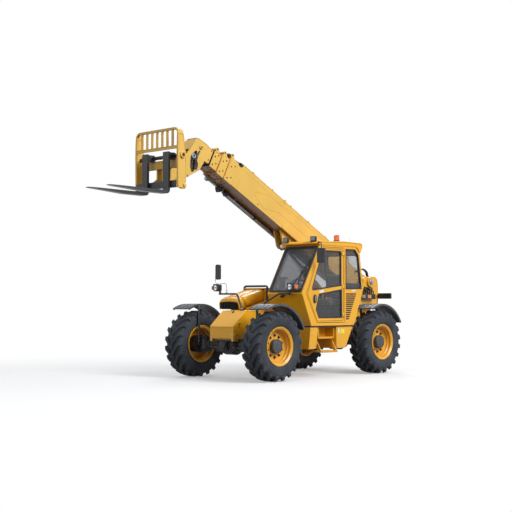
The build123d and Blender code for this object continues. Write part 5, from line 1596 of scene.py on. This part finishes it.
def under_cylinder():
    """Gland, clamps, hoses and front block of the extension cylinder under the boom."""
    gland = Kit(BOOM)
    gland.lathe([(0.0, -0.02), (0.033, -0.02), (0.033, 0.0), (0.03, 0.03), (0.0, 0.03)],
        (3.885, -0.14, -0.262), (1, 0, 0), 24)
    gland.lathe(rectangle(0.0, 0.031, -0.02, 0.02), (0.37, -0.14, -0.262), (1, 0, 0), 24)
    for u in (1.2, 2.1, 3.0):
        gland.lathe(rectangle(0.0, 0.03, -0.02, 0.02), (u, -0.14, -0.262), (1, 0, 0), 20)
    gland.done("extension_gland", "cast", "boom", 0.001)
    rail = Kit(BOOM)
    rail.prism([(-0.1725, -0.224), (-0.1725, -0.292), (-0.166, -0.292), (-0.166, -0.224)], (0.45, 3.86), "x")
    rail.done("extension_guard", "boom_sheen_shade_paint", "boom", 0.001)
    lumps = Kit(BOOM)
    for u, w, wide in ((4.03, -0.292, 0.05), (3.84, -0.262, 0.045)):
        lumps.block((u - 0.045, u + 0.045), (-0.178, -0.178 + wide * 2), (w - 0.012, -0.22))
        lumps.lathe(rectangle(0.0, 0.034, -0.04, 0.04), (u - 0.01, -0.145, w), (0, 1, 0), 20)
        lumps.lathe(rectangle(0.0, 0.016, 0, 0.03), (u + 0.04, -0.15, w + 0.01), (1, 0, 0), 12)
    lumps.done("cylinder_front_mount", "cast", "boom", 0.004)
    block = Kit(BOOM)
    block.block((4.335, 4.385), (-0.17, -0.11), (-0.295, -0.24))
    block.done("extension_block", "boom_sheen_shade_paint", "section_2", 0.005)


for row in COLLARS:
    collar(*row)
top_pins()
tray()
boom_sides()
under_cylinder()


# ------------------------------------------------------------------ boom head
CUT_OUT = [(4.905, -0.445), (4.96, -0.275), (5.0, -0.135), (5.03, -0.16), (5.075, -0.285), (5.01, -0.44),
    (4.94, -0.52)]
HEAD_OUT = 0.132


def boom_nose():
    """Black edging of the cheek holes, pin keepers, weld beads and hoses of the boom head."""
    edging = Kit(BOOM)
    for side in (1, -1):
        loop = [Vector((u, side * 0.1325, w)) for u, w in inset(CUT_OUT, -0.002)]
        edging.tube(loop, 0.0085, 0.022, 10, True)
        edging.tube([(p.x, side * 0.107, p.z) for p in loop], 0.0085, 0.022, 10, True)
    edging.done("head_hole_edging", "seal", "head")
    inner = Kit(BOOM)
    for side in (1, -1):
        inner.prism([(4.86, -0.43), (4.93, -0.12), (5.07, -0.12), (5.115, -0.3), (5.05, -0.52),
            (4.95, -0.56)], sorted((side * 0.07, side * 0.076)), "y", 0.02)
    inner.done("head_web", "boom_sheen_shade_paint", "head", 0.003)
    cable = Kit(BOOM)
    for y in (0.085, 0.098):
        cable.tube([(5.05, y, -0.14), (5.035, y, -0.22), (4.99, y, -0.3), (4.965, y, -0.4), (4.96, y, -0.5)],
            0.0115, 0.05, 10)
        cable.tube([(4.925, y - 0.012, -0.3), (4.93, y - 0.012, -0.4), (4.955, y - 0.012, -0.5)], 0.0105,
            0.05, 10)
    cable.lathe(rectangle(0.016, 0.034, -0.012, 0.012), (4.972, 0.095, -0.255), (0, 1, 0), 24, True)
    cable.lathe(rectangle(0.0, 0.02, -0.03, 0.008), (4.972, 0.095, -0.255), (0, 1, 0), 16)
    cable.done("head_cable", "hose", "head")
    eye = Kit(BOOM).lathe([(0.0205, -0.02), (0.0405, -0.018), (0.0405, 0.018), (0.0205, 0.02)],
        (4.972, 0.095, -0.255), (0, 1, 0), 28, True)
    eye.done("head_cable_eye", "tube", "head", 0.002)
    strap = Kit(BOOM)
    ring = Kit(BOOM)
    curve = ((4.948, -0.103), (4.96, -0.196), (4.945, -0.284), (4.885, -0.35), (4.875, -0.425))
    for side in (1, -1):
        strap.tube([(u, side * 0.139, w) for u, w in curve], 0.0155, 0.05, 10)
        strap.tube([(u + 0.028, side * 0.137, w - 0.004) for u, w in curve[1:]], 0.0085, 0.05, 8)
        ring.lathe([(0.021, 0.0), (0.021, 0.016), (0.028, 0.02), (0.04, 0.019), (0.044, 0.014),
            (0.046, 0.0)], (5.031, side * 0.1325, -0.252), (0, side, 0), 32, True)
        strap.lathe(rectangle(0.0, 0.022, 0.0, 0.006), (5.031, side * 0.1325, -0.252), (0, side, 0), 24)
    strap.done("head_strap", "hose", "head")
    ring.done("head_ring", "tube", "head", 0.001)
    keepers = Kit(BOOM)
    for side in (1, -1):
        for (u, w), big in (((4.948, -0.026), 0.036), ((5.189, -0.835), 0.046)):
            keepers.lathe([(0.0, 0), (big, 0), (big, 0.008), (big - 0.006, 0.012), (0.0, 0.012)],
                (u, side * (0.143 if big < 0.04 else 0.135), w), (0, side, 0), 28)
    keepers.done("head_pin_keepers", "boom_sheen_shade_paint", "head", 0.001)
    bolts = Kit(BOOM)
    for side in (1, -1):
        bolts.bolt((4.948, side * 0.154, -0.026), (0, side, 0), 0.013, 0.012)
        for u, w in ((4.7, 0.06), (4.7, -0.12), (5.2, -0.62), (5.14, -0.62)):
            bolts.bolt((u, side * HEAD_OUT, w), (0, side, 0), 0.009, 0.007)
    bolts.done("head_bolts", "cast", "head")
    beads = Kit(BOOM)
    for side in (1, -1):
        for y in (0.108, 0.1325):
            beads.tube([(u, side * y, w) for u, w in ((4.672, 0.087), (4.77, 0.086), (4.851, 0.097),
                (5.09, 0.076), (5.152, -0.222), (5.202, -0.43), (5.26, -0.8))], 0.0045, 0.02, 8)
    beads.rod((5.09, -0.108, 0.076), (5.09, 0.108, 0.076), 0.006)
    beads.rod((4.851, -0.108, 0.097), (4.851, 0.108, 0.097), 0.004)
    beads.done("head_beads", "boom_sheen_shade_paint", "head")
    stop = Kit(BOOM)
    stop.lathe([(0.0, 0), (0.02, 0), (0.02, 0.018), (0.014, 0.024), (0.0, 0.024)], (4.99, 0.134, -0.62),
        (0, 1, 0), 20)
    stop.done("head_plug", "steel", "head", 0.001)
    hoses = Kit(BOOM)
    for y in (-0.075, 0.075):
        hoses.tube([(4.72, y * 0.6, 0.03), (4.84, y, 0.03), (4.93, y, -0.05), (4.96, y, -0.16),
            (4.985, y * 0.85, -0.26)], 0.0115, 0.06, 10)
    hoses.done("head_hoses", "hose", "head")


LIFT = MACHINE @ Matrix.Translation((-3.5, 0, 0.77)) @ Matrix.Rotation(-radians(37.638), 4, "Y")
TILT = MACHINE @ Matrix.Translation((0.9166, 0, 3.9909)) @ Matrix.Rotation(radians(30.18), 4, "Y")


def cylinder_trim():
    """Glands, ports, pipes and grease nipples of the lift and tilt cylinders."""
    rows = (
        # (piece, axes, barrel's body, rod's body,
        #  barrel end, barrel radius, rod radius, eye to eye, eye radius)
        ("lift", LIFT, "lift_barrel", "lift_rod", 1.99, 0.072, 0.04, 2.686, 0.078),
        ("tilt", TILT, "tilt_barrel", "tilt_rod", 0.5, 0.046, 0.024, 0.6975, 0.048),
    )
    for name, axes, barrel_body, rod_body, end, big, thin, reach, eye in rows:
        gland = Kit(axes)
        gland.lathe([(big - 0.004, end - 0.09), (big + 0.007, end - 0.088), (big + 0.007, end - 0.03),
            (big - 0.002, end - 0.026), (big - 0.002, end + 0.001), (thin + 0.012, end + 0.002),
            (thin + 0.007, end + 0.003)], (0, 0, 0), (1, 0, 0), 40)
        for k in range(8):
            turn = 2 * pi * k / 8
            spot = (end - 0.06, cos(turn) * (big + 0.006), sin(turn) * (big + 0.006))
            gland.lathe([(0.007, -0.004), (0.007, 0.0025), (0.0, 0.0025)], spot, (0, cos(turn), sin(turn)),
                10)
        for u in (big * 1.4, end - 0.13):
            gland.block((u - 0.022, u + 0.022), (-0.02, 0.02), (-big - 0.026, -big + 0.006))
            gland.lathe([(0.013, 0), (0.013, 0.02), (0.01, 0.026), (0.0, 0.026)], (u, 0.02, -big - 0.012),
                (0, 1, 0), 6)
        gland.done(f"{name}_cylinder_gland", "cast", barrel_body, 0.0015)
        pipe = Kit(axes)
        pipe.tube([(big * 1.4, 0.03, -big - 0.012), (big * 1.4 + 0.05, 0.034, -big - 0.01),
            (end - 0.18, 0.034, -big - 0.01), (end - 0.13, 0.03, -big - 0.012)], 0.0075, 0.02, 10)
        pipe.done(f"{name}_cylinder_pipe", "tube", barrel_body)
        foot = Kit(axes)
        foot.lathe([(0.007, 0), (0.007, 0.01), (0.004, 0.018)], (-eye, 0, 0), (-1, 0, 0), 10)
        foot.lathe([(big + 0.001, big), (big + 0.006, big * 1.05), (big + 0.001, big * 1.2)], (0, 0, 0),
            (1, 0, 0), 36)
        foot.done(f"{name}_cylinder_foot", "boom_sheen_shade_paint", barrel_body)
        head = Kit(axes)
        half = 0.054 if name == "lift" else 0.036
        head.lathe([(thin + 0.002, -eye - 0.002), (thin + 0.006, 0.002 - eye), (thin + 0.006, -thin * 0.6)],
            (reach, 0, 0), (1, 0, 0), 28)
        for side in (1, -1):
            head.lathe([(thin * 0.72, 0), (thin + 0.0135, 0.0), (thin + 0.0135, 0.006),
                (thin * 0.72, 0.007)], (reach, side * (half - 0.003), 0), (0, side, 0), 28, True)
        head.done(f"{name}_rod_eye", "cast", rod_body, 0.001)


boom_nose()
cylinder_trim()


# ------------------------------------------------------------------ fork carriage and forks
CARRIAGE = MACHINE @ Matrix.Translation((1.49969, 0, 3.38049))
SIDE_PLATE = [(0.14, -0.08), (0.19, -0.175), (0.312, -0.175), (0.32, 0.42), (0.313, 0.71), (0.193, 0.71),
              (0.15, 0.45), (0.14, 0.32)]


def guard():
    """Bent top bar, slats and ledge of the load guard over the CAD one."""
    kit = Kit(CARRIAGE)
    for half, top, bend in ((0.5165, 0.8085, 0.097), (0.4975, 0.7815, 0.069)):
        for x in (0.2735, 0.3085):
            route = ((half, 0.5), (half, top), (-half, top), (-half, 0.5))
            kit.tube([(x, y, z) for y, z in route], 0.0065, bend, 8)
    for number in range(-3, 4):
        y = number * 0.1235
        kit.prism(rectangle(y - 0.0205, y + 0.0205, 0.505, 0.785), (0.284, 0.3065), "x")
        kit.rod((0.2955, y - 0.024, 0.511), (0.2955, y + 0.024, 0.511), 0.0055)
    kit.done("guard_edges", "boom_sheen_shade_paint", "carriage", 0.002)


def carriage_trim():
    """Shaft bosses, weld beads, bottom lugs, crossbar and stops of the carriage."""
    bosses, bolts, beads = Kit(CARRIAGE), Kit(CARRIAGE), Kit(CARRIAGE)
    for side in (1, -1):
        bosses.lathe([(0.031, -0.008), (0.057, -0.008), (0.057, 0.02), (0.05, 0.028), (0.031, 0.028)],
            (0.215, side * 0.52, 0.36), (0, side, 0), 36, True)
        bosses.lathe([(0.0, 0), (0.03, 0.0), (0.03, 0.02), (0.02, 0.022), (0.0, 0.022)],
            (0.172, side * 0.52, -0.13), (0, side, 0), 28)
        bosses.prism([(0.13, -0.19), (0.13, -0.12), (0.18, -0.06), (0.26, -0.06), (0.26, -0.19)],
            (side * 0.5 - 0.014, side * 0.5 + 0.014), "y", 0.03)
        bosses.lathe(rectangle(0.033, 0.05, -0.01, 0.012), (0.0, side * 0.172, 0.0), (0, side, 0), 32, True)
        bolts.lathe([(0.026, 0.0), (0.026, 0.018), (0.022, 0.022), (0.0, 0.022)], (0.215, side * 0.53, 0.36),
            (0, side, 0), 6)
        bolts.lathe([(0.0, 0), (0.033, 0.0), (0.033, 0.008), (0.02, 0.01), (0.02, 0.022), (0.0, 0.024)],
            (0.0, side * 0.183, 0.0), (0, side, 0), 6)
        for z in (0.05, 0.12, 0.21):
            bolts.bolt((0.2, side * 0.47, z), (1, 0, 0), 0.009, 0.007)
        loop = [Vector((a, side * 0.5215, b)) for a, b in inset(SIDE_PLATE, 0.004)]
        beads.tube(loop, 0.0055, 0.035, 8, True)
        loop = [Vector((a, side * 0.4925, b)) for a, b in inset(SIDE_PLATE, 0.004)]
        beads.tube(loop, 0.0045, 0.035, 8, True)
        for y in (0.142, 0.172):
            route = ((0.155, 0.3), (0.06, 0.322), (-0.062, 0.24), (-0.062, -0.04), (-0.02, -0.092),
                (0.06, -0.092), (0.262, -0.16))
            beads.tube([(a, side * y, b) for a, b in route], 0.004, 0.04, 8)
    for x, z in ((0.14, 0.18), (0.14, 0.31), (0.19, 0.31), (0.19, 0.18), (0.28, 0.51), (0.312, 0.51),
            (0.312, 0.465)):
        beads.rod((x, -0.494, z), (x, 0.494, z), 0.0045)
    bosses.done("carriage_bosses", "boom_sheen_shade_paint", "carriage", 0.002)
    bolts.done("carriage_bolts", "cast", "carriage", 0.001)
    beads.done("carriage_beads", "boom_sheen_shade_paint", "carriage")
    panel = Kit(CARRIAGE)
    for side in (1, -1):
        panel.prism([(0.185, -0.15), (0.185, 0.3), (0.2, 0.3), (0.2, -0.15)], spread(side, 0.405, 0.494),
            "y", 0.003)
        panel.prism([(0.16, -0.12), (0.16, 0.3), (0.188, 0.3), (0.188, -0.12)],
            (side * 0.41 - 0.006, side * 0.41 + 0.006))
    panel.prism([(0.172, 0.19), (0.172, -0.14), (0.2, -0.14), (0.2, 0.19)], (0.012, 0.04))
    panel.done("carriage_webs", "boom_sheen_shade_paint", "carriage", 0.002)
    bar = Kit(CARRIAGE)
    bar.prism(rectangle(0.259, 0.3245, -0.168, -0.052), (-0.4935, 0.4935), "y", 0.01)
    bar.done("lower_crossbar", "fork", "carriage", 0.002)
    ribs = Kit(CARRIAGE)
    for k in range(3):
        ribs.lathe([(0.0295, -0.008), (0.0335, -0.006), (0.0335, 0.006), (0.0295, 0.008)],
            (0.215, (-0.484, -0.005, 0.484)[k], 0.36), (0, 1, 0), 32)
    ribs.done("shaft_rings", "fork", "carriage")


def fork(name, y, body):
    """Forged fork: shank, rounded heel, tapering blade with a narrowed tip, and hook."""
    half = 0.0645
    stations = [
        # ((x, z) of the outer face, (x, z) of the inner face, half width)
        ((0.334, 0.42), (0.376, 0.42), 0.058),
        ((0.33, 0.412), (0.38, 0.412), half),
        ((0.33, -0.2), (0.38, -0.2), half),
    ]
    for k in range(1, 7):
        turn = pi + pi / 2 * k / 6
        stations.append(((0.4 + 0.07 * cos(turn), -0.2 + 0.07 * sin(turn)),
                         (0.395 + 0.015 * cos(turn), -0.2 + 0.015 * sin(turn)), half))
    stations += [
        ((0.83, -0.27), (0.83, -0.215), half),
        ((1.2, -0.247), (1.2, -0.215), half),
        ((1.4, -0.236), (1.4, -0.215), 0.062),
        ((1.5, -0.231), (1.5, -0.2155), 0.056),
        ((1.55, -0.2285), (1.55, -0.216), 0.048),
        ((1.57, -0.2275), (1.57, -0.2165), 0.04),
        ((1.579, -0.226), (1.579, -0.218), 0.03),
    ]
    kit = Kit(CARRIAGE)
    rings = []
    for outer, inner, half in stations:
        rings.append([Vector((outer[0], y - half, outer[1])), Vector((outer[0], y + half, outer[1])),
                      Vector((inner[0], y + half, inner[1])), Vector((inner[0], y - half, inner[1]))])
    kit.fill(rings)
    kit.done(f"{name}_blade", "fork", body, 0.006, 30, [name])
    hook = Kit(CARRIAGE)
    hook.lathe([(0.0302, -0.044), (0.054, -0.044), (0.056, -0.04), (0.056, 0.04), (0.054, 0.044),
        (0.0302, 0.044)], (0.215, y, 0.36), (0, 1, 0), 36, True)
    hook.prism([(0.252, 0.318), (0.335, 0.3), (0.335, 0.41), (0.225, 0.416), (0.238, 0.4), (0.25, 0.38)],
        (y - 0.044, y + 0.044), "y", 0.003)
    hook.done(f"{name}_hook", "fork", body, 0.003)


guard()
carriage_trim()
fork("fork_left", 0.29, "left_fork")
fork("fork_right", -0.22, "right_fork")


# ------------------------------------------------------------------ hydraulics at the tower
def valve_box():
    """Valve block beside the tower: spool levers, blank plate, fittings and hoses above it."""
    box = Kit()
    box.prism(rectangle(-3.566, -3.234, 1.413, 1.512), (0.424, 0.527), "y", 0.012)
    for k in range(5):
        x = -3.52 + 0.06 * k
        box.block((x - 0.018, x + 0.018), (0.424, 0.531), (1.417, 1.508))
    box.done("valve_block", "lamp", "root", 0.005, 30, ["valve_box"])
    plate = Kit().prism(rectangle(-3.41, -3.3, 1.432, 1.496), (0.53, 0.5335), "y", 0.006)
    plate.done("valve_label", "orange")
    end = Kit().prism([(-3.236, 1.425), (-3.222, 1.43), (-3.222, 1.495), (-3.236, 1.5)], (0.44, 0.515), "y",
        0.004)
    end.done("valve_end_cap", "white", "root", 0.002)
    fittings = Kit()
    for k in range(5):
        x = -3.52 + 0.06 * k
        for y in (0.45, 0.5):
            fittings.lathe([(0.0, 0), (0.015, 0), (0.015, 0.014), (0.011, 0.018), (0.011, 0.032),
                (0.0, 0.032)], (x, y, 1.51), (0, 0, 1), 6)
    fittings.done("valve_fittings", "cast")
    hoses = Kit()
    for k in range(5):
        x = -3.52 + 0.06 * k
        rise = 0.02 * (k % 3)
        hoses.tube([(x, 0.45, 1.535), (x, 0.452, 1.585 + rise), (x - 0.05, 0.44, 1.635 + rise),
            (x - 0.09, 0.4, 1.64 + rise)], 0.0125, 0.045, 10)
        hoses.tube([(x, 0.5, 1.535), (x + 0.006, 0.507, 1.57 + rise), (x + 0.06, 0.5, 1.6 + rise),
            (x + 0.1, 0.455, 1.6 + rise), (x + 0.12, 0.4, 1.6)], 0.0125, 0.035, 10)
    hoses.done("valve_hoses", "hose")


def tower_hoses():
    """Hoses that loop from the tower over the boom's pivot into the boom."""
    for number, y in enumerate((0.185, 0.215, -0.19)):
        route = [(-3.62, 1.5), (-3.72, 1.62), (-3.74, 1.86), (-3.7, 1.97), (-3.59, 2.02), (-3.44, 2.0),
            (-3.33, 1.96)]
        kit = Kit().tube([(a, y, b) for a, b in route], 0.015, 0.09, 12)
        hose = kit.done(f"tower_hose_{number + 1}", "hose", None)
        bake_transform(hose)


valve_box()
tower_hoses()


# ------------------------------------------------------------------ floor
def studio_floor():
    """Pale floor that keeps the object's shadow and fades into the white backdrop."""
    mesh = bpy.data.meshes.new("floor")
    reach = 60
    mesh.from_pydata([(-reach, -reach, 0), (reach, -reach, 0), (reach, reach, 0), (-reach, reach, 0)], [],
        [(0, 1, 2, 3)])
    floor = bpy.data.objects.new("floor", mesh)
    scene.collection.objects.link(floor)
    material = bpy.data.materials.new("studio_floor")
    material.use_nodes = True
    nodes_of = material.node_tree
    nodes_of.nodes.clear()
    new, link = nodes_of.nodes.new, nodes_of.links.new
    place = new("ShaderNodeTexCoord")
    far = new("ShaderNodeVectorMath")
    far.operation = "LENGTH"
    link(place.outputs["Object"], far.inputs[0])
    fade = new("ShaderNodeMapRange")
    fade.inputs["From Min"].default_value = 3.5
    fade.inputs["From Max"].default_value = 9.0
    fade.inputs["To Min"].default_value = 0.3
    fade.inputs["To Max"].default_value = 1.0
    link(far.outputs["Value"], fade.inputs["Value"])
    seen = new("ShaderNodeBsdfDiffuse")
    seen.inputs["Color"].default_value = (0.88, 0.88, 0.88, 1)
    glow = new("ShaderNodeEmission")
    both = new("ShaderNodeMixShader")
    link(fade.outputs[0], both.inputs["Fac"])
    link(seen.outputs[0], both.inputs[1])
    link(glow.outputs[0], both.inputs[2])
    bounce = new("ShaderNodeBsdfDiffuse")
    bounce.inputs["Color"].default_value = (0.16, 0.14, 0.12, 1)
    mix = new("ShaderNodeMixShader")
    link(shows_white(nodes_of), mix.inputs["Fac"])
    link(bounce.outputs[0], mix.inputs[1])
    link(both.outputs[0], mix.inputs[2])
    end = new("ShaderNodeOutputMaterial")
    link(mix.outputs[0], end.inputs["Surface"])
    mesh.materials.append(material)


studio_floor()
